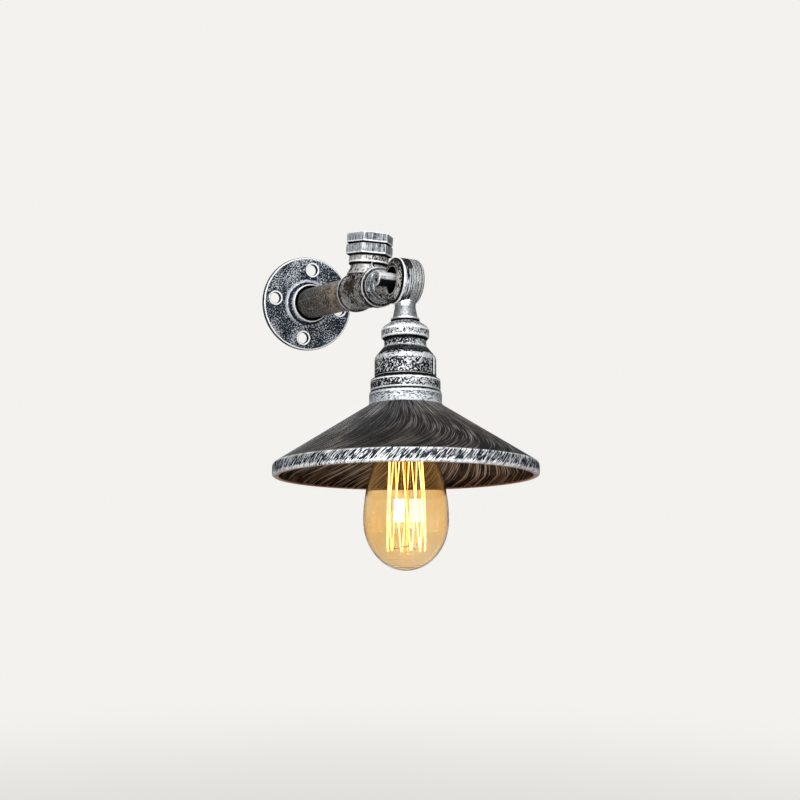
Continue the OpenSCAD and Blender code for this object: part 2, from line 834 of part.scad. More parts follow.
// Live contact in the socket's floor, with the rivet that feeds it
module centre_contact() {
    rivet_top = core_top + block_h;
    color(brass_gold) down_lamp() {
        difference() {
            union() {
                bar(live_r, socket_floor, socket_floor + contact_t);
                translate([-block_x, -1.2, socket_floor]) cube([block_x, 2.4, contact_t]);
                translate([-block_x, 0, 0]) bar(rivet_r, rivet_top, socket_floor + contact_t);
            }
            bar(1, socket_floor - cut, socket_floor + contact_t + cut);
        }
    }
}

// Rivet that feeds the screw shell
module shell_strap() {
    color(brass_gold) down_lamp() translate([block_x, 0, 0]) bar(rivet_r, core_top + block_h, socket_floor);
}

module terminal_blocks() {
    color(brass_gold) down_lamp() for (side = [-1, 1])
        difference() {
            translate([side * block_x - block_w / 2, -block_y / 2, core_top])
                cube([block_w, block_y, block_h]);
            translate([side * block_x, 0, 0]) bar(wire_hole_r, core_top - cut, core_top + block_h - 1.5);
            translate([side * block_x, 0, terminal_at]) rotate([0, side * 90, 0])
                bar(screw_r, 0, block_w);
        }
}

module terminal_screws() {
    head_r = 2.3;
    color(bright_iron) down_lamp() for (side = [-1, 1])
        translate([side * block_x, 0, terminal_at]) rotate([0, side * 90, 0]) difference() {
            union() {
                bar(screw_r, wire_hole_r + 0.1, block_w / 2 + 0.5);
                bar(head_r, block_w / 2, block_w / 2 + 1.8);
            }
            translate([-0.4, -head_r - cut, block_w / 2 + 1.1]) cube([0.8, 2 * head_r + 2 * cut, cut]);
        }
}

// Three cores from the wall to the wire chamber in the barrel
module arm_wires() {
    chamber_end = pivot_at - chamber_d / 2 + 2;
    cores = [["#7a4a26", -1], ["#3f6e3a", 0], ["#2d4c86", 1]];
    in_arm() for (wire = cores)
        color(wire[0]) translate([core_x, 0, wire[1] * core_pitch]) along_arm()
            bar(core_d / 2, 0, chamber_end);
}

// Three cores from the top of the stem to the terminals and the earth screw
module stem_wires() {
    stem_top = barrel_r + 0.8;
    spread = stem_bore_d / 2 - core_d / 2 - 0.3;
    stem_end = cap_ceiling + locknut_h + 2.4;
    block_end = terminal_at + 0.6;
    color("#7a4a26") down_lamp() for (side = [-1, 1])
        tube(
            [
                [side * spread, 0, stem_top], [side * spread, 0, stem_end],
                [side * (spread + 1.5), 0, stem_end + 3], [side * (block_x - 1.5), 0, core_top - 4.5],
                [side * block_x, 0, core_top - 2], [side * block_x, 0, block_end]
            ],
            core_d / 2, 8
        );
    color("#3f6e3a") down_lamp()
        tube(
            [
                [0, spread, stem_top], [0, spread, stem_end], [-1, spread + 1, stem_end + 2],
                [-5, spread + 1.5, stem_end + 3], [earth_x + 1.5, 2, cap_ceiling + 4.4],
                [earth_x, 0.6, cap_ceiling + 2.8]
            ],
            core_d / 2, 8
        );
}

module bulb_cap() {
    cap_sheet = 0.5;
    color(brass_gold) down_lamp() turned(sheet(
        rounded(
            [
                [insulator_r, contact_at + 3.4], [insulator_r + 2, contact_at + 4],
                [bulb_cap_r, contact_at + 6], [bulb_cap_r, glass_top - 1.5], [bulb_cap_r + 0.9, glass_top]
            ],
            [0, 1, 1.2, 1.5, 0], 4
        ),
        cap_sheet
    ));
}

module bulb_insulator() {
    edge_r = insulator_r - static_gap;
    color("#1b1a1c") down_lamp() turned([
        [0, contact_at + 1], [4.6, contact_at + 1], [edge_r, contact_at + 3.3], [edge_r, contact_at + 4.6],
        [0, contact_at + 4.6]
    ]);
}

module bulb_tip() {
    color("#c8cacc") down_lamp() turned([
        [0, contact_at], [3.4, contact_at], [4.6, contact_at + 1], [0, contact_at + 1]
    ]);
}

// Radius of the glass between its neck, at 0, and its greatest diameter, at 1
function flare_r(t) = bulb_neck_d / 2 + (bulb_d - bulb_neck_d) / 2 * pow(1 - pow(1 - t, 2), 1.3);

// Outer line of the glass: a flare from the neck to the greatest diameter, then a round end
glass_seat = glass_top - 6;
seat_r = bulb_neck_d / 2 - 0.9;
glass_line = concat(
    [[seat_r, glass_seat], [seat_r, glass_top - 1.2]],
    [for (i = [0:18]) [flare_r(i / 18), glass_top + (bulb_equator - glass_top) * i / 18]],
    [for (a = [6:6:84]) [bulb_d / 2 * cos(a), bulb_equator + bulb_end_h * sin(a)]],
    [[1.5, bulb_bottom], [0, bulb_bottom]]
);

module bulb_glass() {
    color("#c98a3a", 0.45) down_lamp() turned(sheet(glass_line, glass_wall));
}

// Glass mount inside the bulb, sealed to the neck, with the rod that carries the supports
module bulb_stem() {
    seal_r = seat_r - glass_wall;
    rod_r = 1.3;
    flare_h = 12;
    hub_h = 5;
    color("#d9b27a", 0.5) down_lamp() turned([
        [0, glass_seat], [seal_r, glass_seat], [seal_r, glass_seat + 1.5], [4.2, glass_seat + flare_h],
        [3.4, cage_top - hub_h], [4, cage_top - hub_h / 2], [4, cage_top + 1], [rod_r, cage_top + 2.5],
        [rod_r, cage_bottom - 2], [2.4, cage_bottom - 1], [2.4, cage_bottom + 2], [0, cage_bottom + 3]
    ]);
}

// Wires that hold each bend of the filament off the glass mount
module bulb_supports() {
    color("#8d8f92") down_lamp() for (k = [0:filament_runs - 1]) {
        top = k % 2 == 1;
        hub_r = top ? 3.9 : 2.3;
        reach = (top ? cage_top_d : cage_bottom_d) / 2 - filament_d;
        height = top ? cage_top - 0.6 : cage_bottom + 0.6;
        rotate([0, 0, 360 * (k + 0.5) / filament_runs]) translate([0, 0, height]) rotate([0, 90, 0])
            bar(support_d / 2, hub_r, reach);
    }
}

// Path of the filament: upright runs joined by bends at the top and the bottom in turn
function cage_point(k, t) =
    let (
        a = 360 * k / filament_runs,
        r = cage_top_d / 2 * (1 - t) + cage_bottom_d / 2 * t
    )
    [r * cos(a), r * sin(a), cage_top * (1 - t) + cage_bottom * t];

function filament_run(k) =
    let (
        down = k % 2 == 0,
        bend_h = down ? 1.6 : -1.6
    )
    [
        for (t = down ? [0, 0.5, 1] : [1, 0.5, 0]) cage_point(k, t),
        if (k < filament_runs - 1)
            for (b = [0.25, 0.5, 0.75]) cage_point(k + b, down ? 1 : 0) + [0, 0, bend_h * sin(180 * b)]
    ];

module bulb_filament() {
    color("#ffcf6a") down_lamp()
        tube([for (k = [0:filament_runs - 1]) each filament_run(k)], filament_d / 2, 5);
}

wall_flange();
arm_pipe();
pipe_tee();
branch_bushing();
plug_gasket();
branch_plug();
front_bushing();
knuckle_barrel();
swivel_drum();
friction_washer();
spring_washer();
clamp_bolt();
stem_nipple();
stem_locknut();
holder_cap();
holder_body();
shade_ring();
shade_clamp_ring();
shade();
socket_core();
core_retainer();
socket_shell();
centre_contact();
shell_strap();
terminal_blocks();
terminal_screws();
earth_screw();
arm_wires();
stem_wires();
bulb_cap();
bulb_insulator();
bulb_tip();
bulb_glass();
bulb_stem();
bulb_supports();
bulb_filament();
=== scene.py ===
import json
import math
import random
from collections import namedtuple

import bpy
import numpy as np
from mathutils import Matrix, Vector
from mathutils.bvhtree import BVHTree


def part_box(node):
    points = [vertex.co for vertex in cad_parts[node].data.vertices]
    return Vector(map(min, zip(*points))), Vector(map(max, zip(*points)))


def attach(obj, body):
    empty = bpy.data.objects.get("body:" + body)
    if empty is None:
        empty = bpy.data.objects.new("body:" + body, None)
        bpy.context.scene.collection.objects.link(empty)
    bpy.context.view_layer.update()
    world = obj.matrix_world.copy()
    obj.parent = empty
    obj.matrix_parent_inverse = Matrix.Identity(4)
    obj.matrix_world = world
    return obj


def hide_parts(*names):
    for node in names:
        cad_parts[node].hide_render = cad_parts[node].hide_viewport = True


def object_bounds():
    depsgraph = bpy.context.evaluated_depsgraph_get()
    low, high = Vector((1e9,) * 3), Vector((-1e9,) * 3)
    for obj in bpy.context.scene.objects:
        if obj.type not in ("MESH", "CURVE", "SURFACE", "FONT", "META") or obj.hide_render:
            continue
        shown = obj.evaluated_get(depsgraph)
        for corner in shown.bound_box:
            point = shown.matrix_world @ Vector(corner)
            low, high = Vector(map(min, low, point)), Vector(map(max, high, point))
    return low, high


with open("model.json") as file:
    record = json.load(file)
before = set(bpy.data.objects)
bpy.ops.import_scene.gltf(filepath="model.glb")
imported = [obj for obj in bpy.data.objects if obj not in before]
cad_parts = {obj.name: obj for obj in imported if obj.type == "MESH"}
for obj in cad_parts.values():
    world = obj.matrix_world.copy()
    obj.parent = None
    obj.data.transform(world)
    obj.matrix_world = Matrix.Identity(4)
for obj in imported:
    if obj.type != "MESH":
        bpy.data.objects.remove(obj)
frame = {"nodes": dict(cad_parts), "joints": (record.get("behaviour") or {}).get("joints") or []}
cad_low, cad_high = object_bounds()

# Camera, from the circles of the object in the photograph
CAMERA_AZIMUTH = math.radians(-25.361)
CAMERA_ELEVATION = math.radians(-1.263)
CAMERA_ROLL = math.radians(0.516)
CAMERA_DISTANCE = 1.083308
CAMERA_TARGET = Vector((0.048879, -0.1, -0.088599))
LENS_MM = 56.606
SENSOR_MM = 36.0

# Floor and room
FLOOR_Z = -1.2
FLOOR_SIZE = 12.0
PALE = (0.90, 0.885, 0.86)
ROOM_FRONT = 0.20
ROOM_BACK = 0.08

# Finishes, as linear colours
SILVER = (0.50, 0.54, 0.585)
# Bright lips: silver worn on edges, and painted highlights
WORN_EDGE_AND_HIGHLIGHT = (0.92, 0.935, 0.95)
BLUE_BLACK = (0.005, 0.007, 0.011)
BLUE_GREY = (0.030, 0.039, 0.054)
BROWN_BLACK = (0.009, 0.007, 0.006)
DULL_IRON = (0.03, 0.032, 0.035)
# Near-black: black paint and dark grain, and painted shade in corners, grooves, gaps and recesses
BLACK_AND_SHADE = (0.003, 0.003, 0.0035)
# Painted glow of the lit bulb on the shade's inner lip
BULB_GLOW_COPPER = (0.42, 0.20, 0.115)

# Dry brushing: cells a metre, weight of the cover, dirt and painted shade in corners and depth of the grain
BLOTCH_SCALE = 55.0
COVER_GAIN = 0.36
CORNER_DIRT_AND_SHADE = 0.9
GRAIN_DEPTH = 0.00025
HOLDER_GRAIN = 740.0

# Sizes and turns of the part that painted regions follow
ROLL = math.radians(3)
LAMP_OFFSET = 0.002
HOLE_COUNT = 4
HOLE_CIRCLE_R = 0.0315
HOLE_TURN = math.radians(7.5)
HOLE_R = 0.005
BEAD_R = 0.0170
BEAD_START = 0.008
FOOT_R = 0.0200
TEE_BAND = 0.008
DRUM_R = 0.018
CUP_R = 0.0142
RECESS_R = 0.0108
FLARE_GAP = 0.001
BOLT_SOCKET_R = 0.0026
RIB_H = 0.0008
COLLAR_H = 0.0104
RIM_H = 0.0098

# Heights below the lampholder's cap
BELT = (0.0022, 0.0058)
BELT_LIP = 0.0064
THROAT = (0.0084, 0.0132)
LEDGE = (0.0146, 0.0170)
SIDE_START = 0.0155

# Filament cage
CAGE_RUNS = 12
CAGE_PHASE = math.radians(12)
CAGE_END_ROOM = 0.0012
CAGE_TAPER = 0.83
CAGE_BELLY = 1.12
CAGE_SWAY = 0.0006
BEND_H = 0.0006
BEND_SHARE = 0.985
FILAMENT_R = 0.00042
HOOK_R = 0.0003
HOOK_TOP_R = 0.0036
HOOK_BOTTOM_R = 0.0020

# Thread of the bulb's cap
THREAD_PITCH = 0.0036
THREAD_DEPTH = 0.0008
THREAD_FADE = 0.0012
THREAD_ROW = 0.00045
THREAD_END = 0.0030
CAP_FLARE = 0.0009
CAP_TOP_R = 0.0072
CAP_WALL = 0.0005
CAP_SIDES = 96

# Casting seam of the tee
SEAM_W = 0.0013
SEAM_H = 0.0008
SEAM_ROOT = 0.0002
SEAM_LEAN = 0.0045
SEAM_STEPS = 28

Axis = namedtuple("Axis", "origin main side other")


def axis_at(origin, main, side):
    """An axis with two directions square to it, for patterns that go round a turned part."""
    main = Vector(main).normalized()
    side = Vector(side)
    side = (side - main * side.dot(main)).normalized()
    return Axis(Vector(origin), main, side, main.cross(side))


joints = {j["name"]: j for j in frame["joints"]}
PIVOT = Vector(joints["head_tilt"]["pos_m"])
HINGE_DIRECTION = Vector(joints["head_tilt"]["axis"]).normalized()
LAMP_DIRECTION = Vector(joints["bulb_unscrew"]["axis"]).normalized()
FORWARD = Vector((0, -1, 0))
BRANCH_UP = Matrix.Rotation(ROLL, 3, "Y") @ Vector((0, 0, 1))
tee_low, tee_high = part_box("pipe_tee")
TEE_BACK = -tee_high.y
TEE_FRONT = -tee_low.y

ARM = axis_at((0, 0, 0), FORWARD, HINGE_DIRECTION)
BRANCH = axis_at(FORWARD * (TEE_BACK + TEE_FRONT) / 2, BRANCH_UP, HINGE_DIRECTION)
HINGE = axis_at(PIVOT, HINGE_DIRECTION, FORWARD)
LAMP = axis_at(PIVOT + LAMP_OFFSET * HINGE_DIRECTION, LAMP_DIRECTION, HINGE_DIRECTION)


def corners(node):
    """A node's vertices as an array."""
    mesh = frame["nodes"][node].data
    points = np.empty(len(mesh.vertices) * 3)
    mesh.vertices.foreach_get("co", points)
    return points.reshape(-1, 3)


def span(node, axis):
    """Lowest and highest place of a node along an axis."""
    heights = (corners(node) - np.array(axis.origin)) @ np.array(axis.main)
    return float(heights.min()), float(heights.max())


def reach(node, axis):
    """Largest distance of a node's vertices from an axis."""
    away = corners(node) - np.array(axis.origin)
    flat = away - np.outer(away @ np.array(axis.main), np.array(axis.main))
    return float(np.linalg.norm(flat, axis=1).max())


def place(axis, radius, angle, height):
    """Point at a radius, an angle and a height on an axis."""
    return (
        axis.origin
        + axis.main * height
        + axis.side * radius * math.cos(angle)
        + axis.other * radius * math.sin(angle)
    )


def direction(azimuth, elevation):
    """Unit vector from the lamp towards an azimuth and an elevation, with the front at 0."""
    flat = math.cos(elevation)
    return Vector((math.sin(azimuth) * flat, -math.cos(azimuth) * flat, math.sin(elevation)))


def scaled(colour, factor):
    """A colour made lighter or darker."""
    return tuple(factor * c for c in colour)


class Graph:
    """The nodes of one material or world, with a short call for each kind used here."""

    def __init__(self, owner, output):
        owner.use_nodes = True
        self.owner = owner
        self.tree = owner.node_tree
        self.tree.nodes.clear()
        self.output = self.add(output)
        self.coords = self.add("ShaderNodeTexCoord")
        self.place = self.coords.outputs["Object"]
        self.normal = self.coords.outputs["Normal"]

    def add(self, kind, **settings):
        node = self.tree.nodes.new(kind)
        for key, value in settings.items():
            setattr(node, key, value)
        return node

    def feed(self, socket, value):
        """Links a socket, or sets it."""
        if isinstance(value, bpy.types.NodeSocket):
            self.tree.links.new(value, socket)
        elif isinstance(value, tuple) and len(value) == 3 and socket.type == "RGBA":
            socket.default_value = (*value, 1.0)
        else:
            socket.default_value = value

    def math(self, operation, a, b=0.0):
        node = self.add("ShaderNodeMath", operation=operation)
        self.feed(node.inputs[0], a)
        self.feed(node.inputs[1], b)
        return node.outputs[0]

    def chain(self, operation, values):
        """One operation over several values, from the first to the last."""
        result = values[0]
        for value in values[1:]:
            result = self.math(operation, result, value)
        return result

    def times(self, *values):
        return self.chain("MULTIPLY", values)

    def plus(self, *values):
        return self.chain("ADD", values)

    def most(self, *values):
        """The largest of several values."""
        return self.chain("MAXIMUM", values)

    def minus(self, a, b):
        return self.math("SUBTRACT", a, b)

    def opposite(self, value):
        """1 where a value is 0, 0 where it is 1."""
        return self.minus(1.0, value)

    def size(self, value):
        """A value without its sign."""
        return self.math("ABSOLUTE", value)

    def vector(self, operation, a, b=(0.0, 0.0, 0.0)):
        node = self.add("ShaderNodeVectorMath", operation=operation)
        self.feed(node.inputs[0], a)
        self.feed(node.inputs[1], b)
        scalar = operation in ("DOT_PRODUCT", "LENGTH")
        return node.outputs["Value" if scalar else "Vector"]

    def dot(self, a, b):
        return self.vector("DOT_PRODUCT", a, b)

    def combine(self, x, y, z):
        node = self.add("ShaderNodeCombineXYZ")
        for socket, value in zip(node.inputs, (x, y, z)):
            self.feed(socket, value)
        return node.outputs[0]

    def noise(self, scale, detail=2.0, rough=0.5, at=None):
        node = self.add("ShaderNodeTexNoise")
        self.feed(node.inputs["Vector"], at or self.place)
        self.feed(node.inputs["Scale"], scale)
        self.feed(node.inputs["Detail"], detail)
        self.feed(node.inputs["Roughness"], rough)
        return node.outputs["Fac"]

    def step(self, value, low, high, to_low=0.0, to_high=1.0, kind="SMOOTHSTEP"):
        """Change from to_low to to_high as a value goes from low to high."""
        node = self.add("ShaderNodeMapRange", interpolation_type=kind)
        for socket, v in zip(node.inputs, (value, low, high, to_low, to_high)):
            self.feed(socket, v)
        return node.outputs[0]

    def mix(self, factor, a, b):
        """Colour between two colours."""
        node = self.add("ShaderNodeMix", data_type="RGBA")
        self.feed(node.inputs[0], factor)
        self.feed(node.inputs[6], a)
        self.feed(node.inputs[7], b)
        return node.outputs[2]

    def blend(self, factor, a, b):
        """Number between two numbers."""
        node = self.add("ShaderNodeMix", data_type="FLOAT")
        self.feed(node.inputs[0], factor)
        self.feed(node.inputs[2], a)
        self.feed(node.inputs[3], b)
        return node.outputs[0]

    def away(self, axis):
        """Place from an axis's origin."""
        return self.vector("SUBTRACT", self.place, axis.origin)

    def height(self, axis):
        """Place along an axis."""
        return self.dot(self.away(axis), axis.main)

    def polar(self, axis):
        """Height along an axis, distance from it, and the cosine and sine of the angle round it."""
        away = self.away(axis)
        height = self.dot(away, axis.main)
        x = self.dot(away, axis.side)
        y = self.dot(away, axis.other)
        radius = self.math("SQRT", self.plus(self.times(x, x), self.times(y, y)))
        return height, radius, self.math("DIVIDE", x, radius), self.math("DIVIDE", y, radius)

    def turned(self, cosine, sine, turn):
        """Cosine and sine of an angle less a turn."""
        c = self.math("COSINE", turn)
        s = self.math("SINE", turn)
        return (
            self.plus(self.times(cosine, c), self.times(sine, s)),
            self.minus(self.times(sine, c), self.times(cosine, s)),
        )

    def wound(self, axis, around, along, twist=0.0):
        """Coordinates for strokes round an axis: cells a radian, cells a metre along it, turn a metre."""
        height, _, cosine, sine = self.polar(axis)
        x, y = self.turned(cosine, sine, self.times(height, twist))
        return self.combine(self.times(x, around), self.times(y, around), self.times(height, along))

    def line(self, value, centre, half, soft=0.0004):
        """1 within a half width of a centre, 0 beyond it."""
        return self.step(self.size(self.minus(value, centre)), half + soft, half)

    def lines(self, value, centres, half, soft=0.0003):
        """The strongest of several lines."""
        return self.most(*(self.line(value, centre, half, soft) for centre in centres))

    def within(self, value, low, high, soft=0.0003):
        """1 between two places, 0 beyond them."""
        return self.times(self.step(value, low - soft, low), self.step(value, high + soft, high))

    def edge(self, radius, low=0.006, high=0.06):
        """1 on corners, 0 on smooth faces: how far a bevelled normal leaves the true one."""
        bevel = self.add("ShaderNodeBevel", samples=6)
        self.feed(bevel.inputs["Radius"], radius)
        normal = self.add("ShaderNodeNewGeometry").outputs["Normal"]
        return self.step(self.opposite(self.dot(bevel.outputs[0], normal)), low, high)

    def exposed(self, distance, low, high):
        """1 in the open, 0 in corners and grooves."""
        node = self.add("ShaderNodeAmbientOcclusion", samples=8, only_local=False)
        self.feed(node.inputs["Distance"], distance)
        return self.step(node.outputs["AO"], low, high)

    def seen(self):
        """1 for the camera, also through glass, 0 for light and reflections."""
        path = self.add("ShaderNodeLightPath")
        return self.most(path.outputs["Is Camera Ray"], path.outputs["Is Transmission Ray"])

    def bump(self, height, strength, distance):
        node = self.add("ShaderNodeBump")
        self.feed(node.inputs["Height"], height)
        self.feed(node.inputs["Strength"], strength)
        self.feed(node.inputs["Distance"], distance)
        return node.outputs[0]

    def show(self, shader):
        """Gives the output its shader."""
        self.tree.links.new(shader.outputs[0], self.output.inputs["Surface"])
        return self.owner

    def surface(self, **values):
        """The shader itself. Keys are its sockets' names with _ for spaces."""
        shader = self.add("ShaderNodeBsdfPrincipled")
        for key, value in values.items():
            self.feed(shader.inputs[key.replace("_", " ")], value)
        return self.show(shader)


def material_graph(name):
    """An empty graph for a new material."""
    return Graph(bpy.data.materials.new(name), "ShaderNodeOutputMaterial")


def dry_brushed(
    name, dark, mid, silver, grain=900.0, cover=0.5, patch=0.10, edge_w=0.0011, strokes=None, stroke_mix=0.6,
    relief=0.45, metal=0.3, where=None, accents=None,
):
    """Antique iron: dark casting with silver brushed over its grain and its edges.

    strokes is an axis, cells a radian and cells a metre. where moves the brushing's limit, and accents
    gives the worn lips and painted highlights, and the black gaps, which are painted shade.
    """
    g = material_graph(name)
    fine = g.noise(grain, 2.5, 0.62)
    blotch = g.noise(BLOTCH_SCALE, 2.0, 0.55)
    pattern = fine
    if strokes is not None:
        axis, around, along = strokes
        end_on = g.size(g.dot(g.normal, axis.main))
        drawn = g.step(end_on, 0.97, 0.80, 0.0, stroke_mix)
        pattern = g.blend(drawn, fine, g.noise(1.0, 2.0, 0.55, at=g.wound(axis, around, along)))
    limit = g.minus(g.step(blotch, 0.3, 0.7, 0.5 + patch, 0.5 - patch), (cover - 0.5) * COVER_GAIN)
    if where is not None:
        limit = g.plus(limit, where(g))
    exposed = g.exposed(0.005, 0.38, 0.90)
    silvered = g.step(pattern, g.minus(limit, 0.02), g.plus(limit, 0.035))
    silvered = g.times(silvered, g.blend(CORNER_DIRT_AND_SHADE, 1.0, exposed))
    rubbed = g.step(g.noise(grain * 0.35, 2.0), 0.22, 0.46, 0.45, 1.0)
    worn = g.times(g.edge(edge_w), rubbed, g.step(exposed, 0.0, 0.5))
    colour = g.mix(g.step(g.noise(grain * 0.5, 3.0), 0.35, 0.7), dark, mid)
    # Corners and grooves go near-black: partly black paint the brush missed, partly painted shade
    colour = g.mix(g.times(g.opposite(exposed), CORNER_DIRT_AND_SHADE), colour, BLACK_AND_SHADE)
    light = g.mix(g.step(g.noise(grain * 0.6, 2.0), 0.35, 0.65), scaled(silver, 0.62), silver)
    colour = g.mix(worn, g.mix(silvered, colour, light), WORN_EDGE_AND_HIGHLIGHT)
    shine = g.most(silvered, worn)
    if accents is not None:
        # Lips are worn edges and painted highlights; gaps are painted shade in grooves, recesses and between
        # parts
        lips, gaps = accents(g)
        lips = g.times(lips, g.step(fine, 0.36, 0.50, 0.55, 1.0))
        colour = g.mix(gaps, g.mix(lips, colour, WORN_EDGE_AND_HIGHLIGHT), BLACK_AND_SHADE)
        shine = g.times(g.most(shine, lips), g.opposite(gaps))
    return g.surface(
        Base_Color=colour,
        Metallic=g.blend(shine, 0.0, metal),
        Roughness=g.blend(shine, 0.60, 0.40),
        Specular_IOR_Level=g.blend(shine, 0.04, 0.9),
        Normal=g.bump(g.plus(pattern, g.times(silvered, 0.5)), relief, GRAIN_DEPTH),
    )


# Flange
def flange_rings(g):
    """The flange's foot, brushed most at its upper left, and the dark groove inside it."""
    _, radius, cosine, sine = g.polar(ARM)
    upper_left = g.plus(g.times(cosine, -0.8), g.times(sine, 0.6))
    brushed = g.step(upper_left, -0.3, 0.7, 0.06, 0.22)
    foot = g.times(g.step(radius, FOOT_R - 0.0008, FOOT_R), g.step(radius, FOOT_R + 0.0028, FOOT_R + 0.0012))
    groove = g.times(
        g.step(radius, BEAD_R + 0.0005, BEAD_R + 0.0009),
        g.step(radius, FOOT_R - 0.0004, FOOT_R - 0.0010),
    )
    return g.minus(g.times(groove, 0.25), g.times(foot, brushed))


def flange_lines(g):
    """The flange's worn edges round its outline, bead and holes, and painted shade in its holes, round the
    pipe and on its rim.
    """
    height, radius, _, _ = g.polar(ARM)
    outer = reach("wall_flange", ARM)
    on_bead = g.step(height, BEAD_START, BEAD_START + 0.002)
    bead = g.times(g.line(radius, BEAD_R, 0.0005), on_bead)
    outline = g.times(g.line(radius, outer - 0.0010, 0.0003), 0.85)
    lips = g.most(bead, outline)
    inside_bead = g.times(g.step(radius, BEAD_R - 0.0006, BEAD_R - 0.0012), on_bead)
    gaps = g.most(inside_bead, g.step(radius, outer - 0.0005, outer - 0.0002, 0.0, 0.8))
    for k in range(HOLE_COUNT):
        angle = math.tau * k / HOLE_COUNT - HOLE_TURN
        centre = (HOLE_CIRCLE_R * math.cos(angle), 0.0, HOLE_CIRCLE_R * math.sin(angle))
        flat = g.vector("MULTIPLY", g.vector("SUBTRACT", g.place, centre), (1.0, 0.0, 1.0))
        distance = g.vector("LENGTH", flat)
        lips = g.most(lips, g.line(distance, HOLE_R + 0.0009, 0.0004))
        gaps = g.most(gaps, g.step(distance, HOLE_R + 0.0003, HOLE_R + 0.0001))
    return lips, gaps


# Tee and its hexagons
def tee_front_highlight(g):
    """Painted highlight: the tee is brushed more on the front of its branch and on the fillet below it."""
    away = g.away(BRANCH)
    height = g.dot(away, BRANCH.main)
    front_left = g.dot(away, (-0.30, -0.95, 0.0))
    return g.times(g.step(height, 0.004, 0.015), g.step(front_left, -0.006, 0.010), -0.13)


def tee_end_radius():
    """Outer radius of the tee's front end."""
    points = corners("pipe_tee")
    ends = points[points[:, 1] < -(TEE_FRONT - TEE_BAND / 2)]
    return float(np.hypot(ends[:, 0], ends[:, 2]).max())


def tee_lines(g):
    """The tee's lips: thin and bright at its ends and under its branch band, each beside a groove in painted
    shade.
    """
    height = g.height(BRANCH)
    run, radius, _, _ = g.polar(ARM)
    outer = tee_end_radius()
    face = span("pipe_tee", BRANCH)[1]
    branch_band = face - TEE_BAND
    front_band = TEE_FRONT - TEE_BAND
    below_branch = g.step(height, branch_band - 0.0030, branch_band - 0.0060)

    end_lips = g.most(g.line(run, TEE_BACK + 0.0015, 0.0007), g.line(run, TEE_FRONT - 0.0006, 0.0002))
    branch_lip = g.line(height, branch_band + 0.0020, 0.0004)
    lips = g.most(branch_lip, g.times(end_lips, below_branch, 0.8))

    rear_groove = g.within(run, TEE_BACK + 0.0030, TEE_BACK + 0.0062, 0.0008)
    front_groove = g.within(run, front_band - 0.0022, front_band - 0.0008, 0.0006)
    end_grooves = g.times(g.most(rear_groove, front_groove), below_branch, 0.9)
    branch_groove = g.within(height, branch_band - 0.0006, branch_band + 0.0010)
    # Painted shade where the hexagons sit on the tee's faces
    branch_face = g.step(height, face - 0.0022, face - 0.0012)
    inside_lip = g.step(radius, outer - 0.0006, outer - 0.0010)
    end_face = g.times(g.step(run, TEE_FRONT - 0.0002, TEE_FRONT), inside_lip, 0.75)
    return lips, g.most(branch_groove, branch_face, end_grooves, end_face)


def hexagon_lines(g):
    """The two branch hexagons: a bright lower lip on each, painted shade above the tee and beside the
    gasket.
    """
    height = g.height(BRANCH)
    low, high = span("plug_gasket", BRANCH)
    under = span("pipe_tee", BRANCH)[1]
    lips = g.times(g.lines(height, (under + 0.0009, high + 0.0009), 0.0003), 0.85)
    beside_gasket = g.within(height, low - 0.0003, high + 0.0002, 0.0001)
    return lips, g.most(beside_gasket, g.step(height, under + 0.0004, under + 0.0001))


# Knuckle
def drum_shadow(g):
    """Painted shade: the silver thins to streaks on the drum's top, its underside and its far side."""
    away = g.away(HINGE)
    up = g.dot(away, BRANCH.main)
    top = g.step(up, 0.001, 0.014, 0.0, 0.19)
    underside = g.step(up, -0.004, -0.014, 0.0, 0.14)
    far_side = g.step(g.dot(away, HINGE.main), -0.003, 0.0085, -0.05, 0.12)
    return g.plus(top, underside, far_side)


def drum_lines(g):
    """The drum: a thin bright edge at its rim, a fainter one at its far end, painted shade on its end face.
    """
    height, radius, _, _ = g.polar(HINGE)
    low, high = span("swivel_drum", HINGE)
    at_rim = g.step(radius, DRUM_R - 0.0009, DRUM_R - 0.0005)
    near_edge = g.times(g.line(height, low + 0.0003, 0.0005), at_rim)
    far_edge = g.times(g.line(height, high - 0.0022, 0.0004), 0.5)
    inside_rim = g.step(radius, DRUM_R - 0.0006, DRUM_R - 0.0010)
    return g.most(near_edge, far_edge), g.times(g.step(height, low + 0.0004, low + 0.0002), inside_rim)


def cup_lines(g):
    """The knuckle's cup: bright edges, painted shade in the recess and drum, painted light on the recess's
    lower side.
    """
    height, radius, _, down = g.polar(HINGE)
    low = span("knuckle_barrel", HINGE)[0]
    flare_end = span("swivel_drum", HINGE)[0] - FLARE_GAP
    lower = g.step(down, -0.1, 0.25)
    on_face = g.step(height, low + 0.0006, low + 0.0003)
    outer_edge = g.times(g.line(radius, CUP_R, 0.0003), on_face, 0.8)
    lip_highlight = g.times(g.line(radius, RECESS_R + 0.0005, 0.0004), on_face, lower)

    # Painted shade fills the recess, less on its lower side, whose wall is painted lit
    dark_from = g.blend(lower, low + 0.0006, low + 0.0042)
    in_recess = g.step(radius, RECESS_R + 0.0006, RECESS_R + 0.0002)
    deep = g.times(in_recess, g.step(g.minus(height, dark_from), -0.0005, 0.0005))
    speckle = g.step(g.noise(900.0, 2.0), 0.42, 0.58, 0.12, 0.5)
    lit_wall = g.times(in_recess, g.opposite(deep), lower, speckle)

    behind_flare = g.step(height, flare_end - 0.0010, flare_end - 0.0006)
    in_drum = g.step(radius, DRUM_R + 0.0012, DRUM_R + 0.0004)
    return g.most(outer_edge, lip_highlight, lit_wall), g.most(deep, g.times(behind_flare, in_drum))


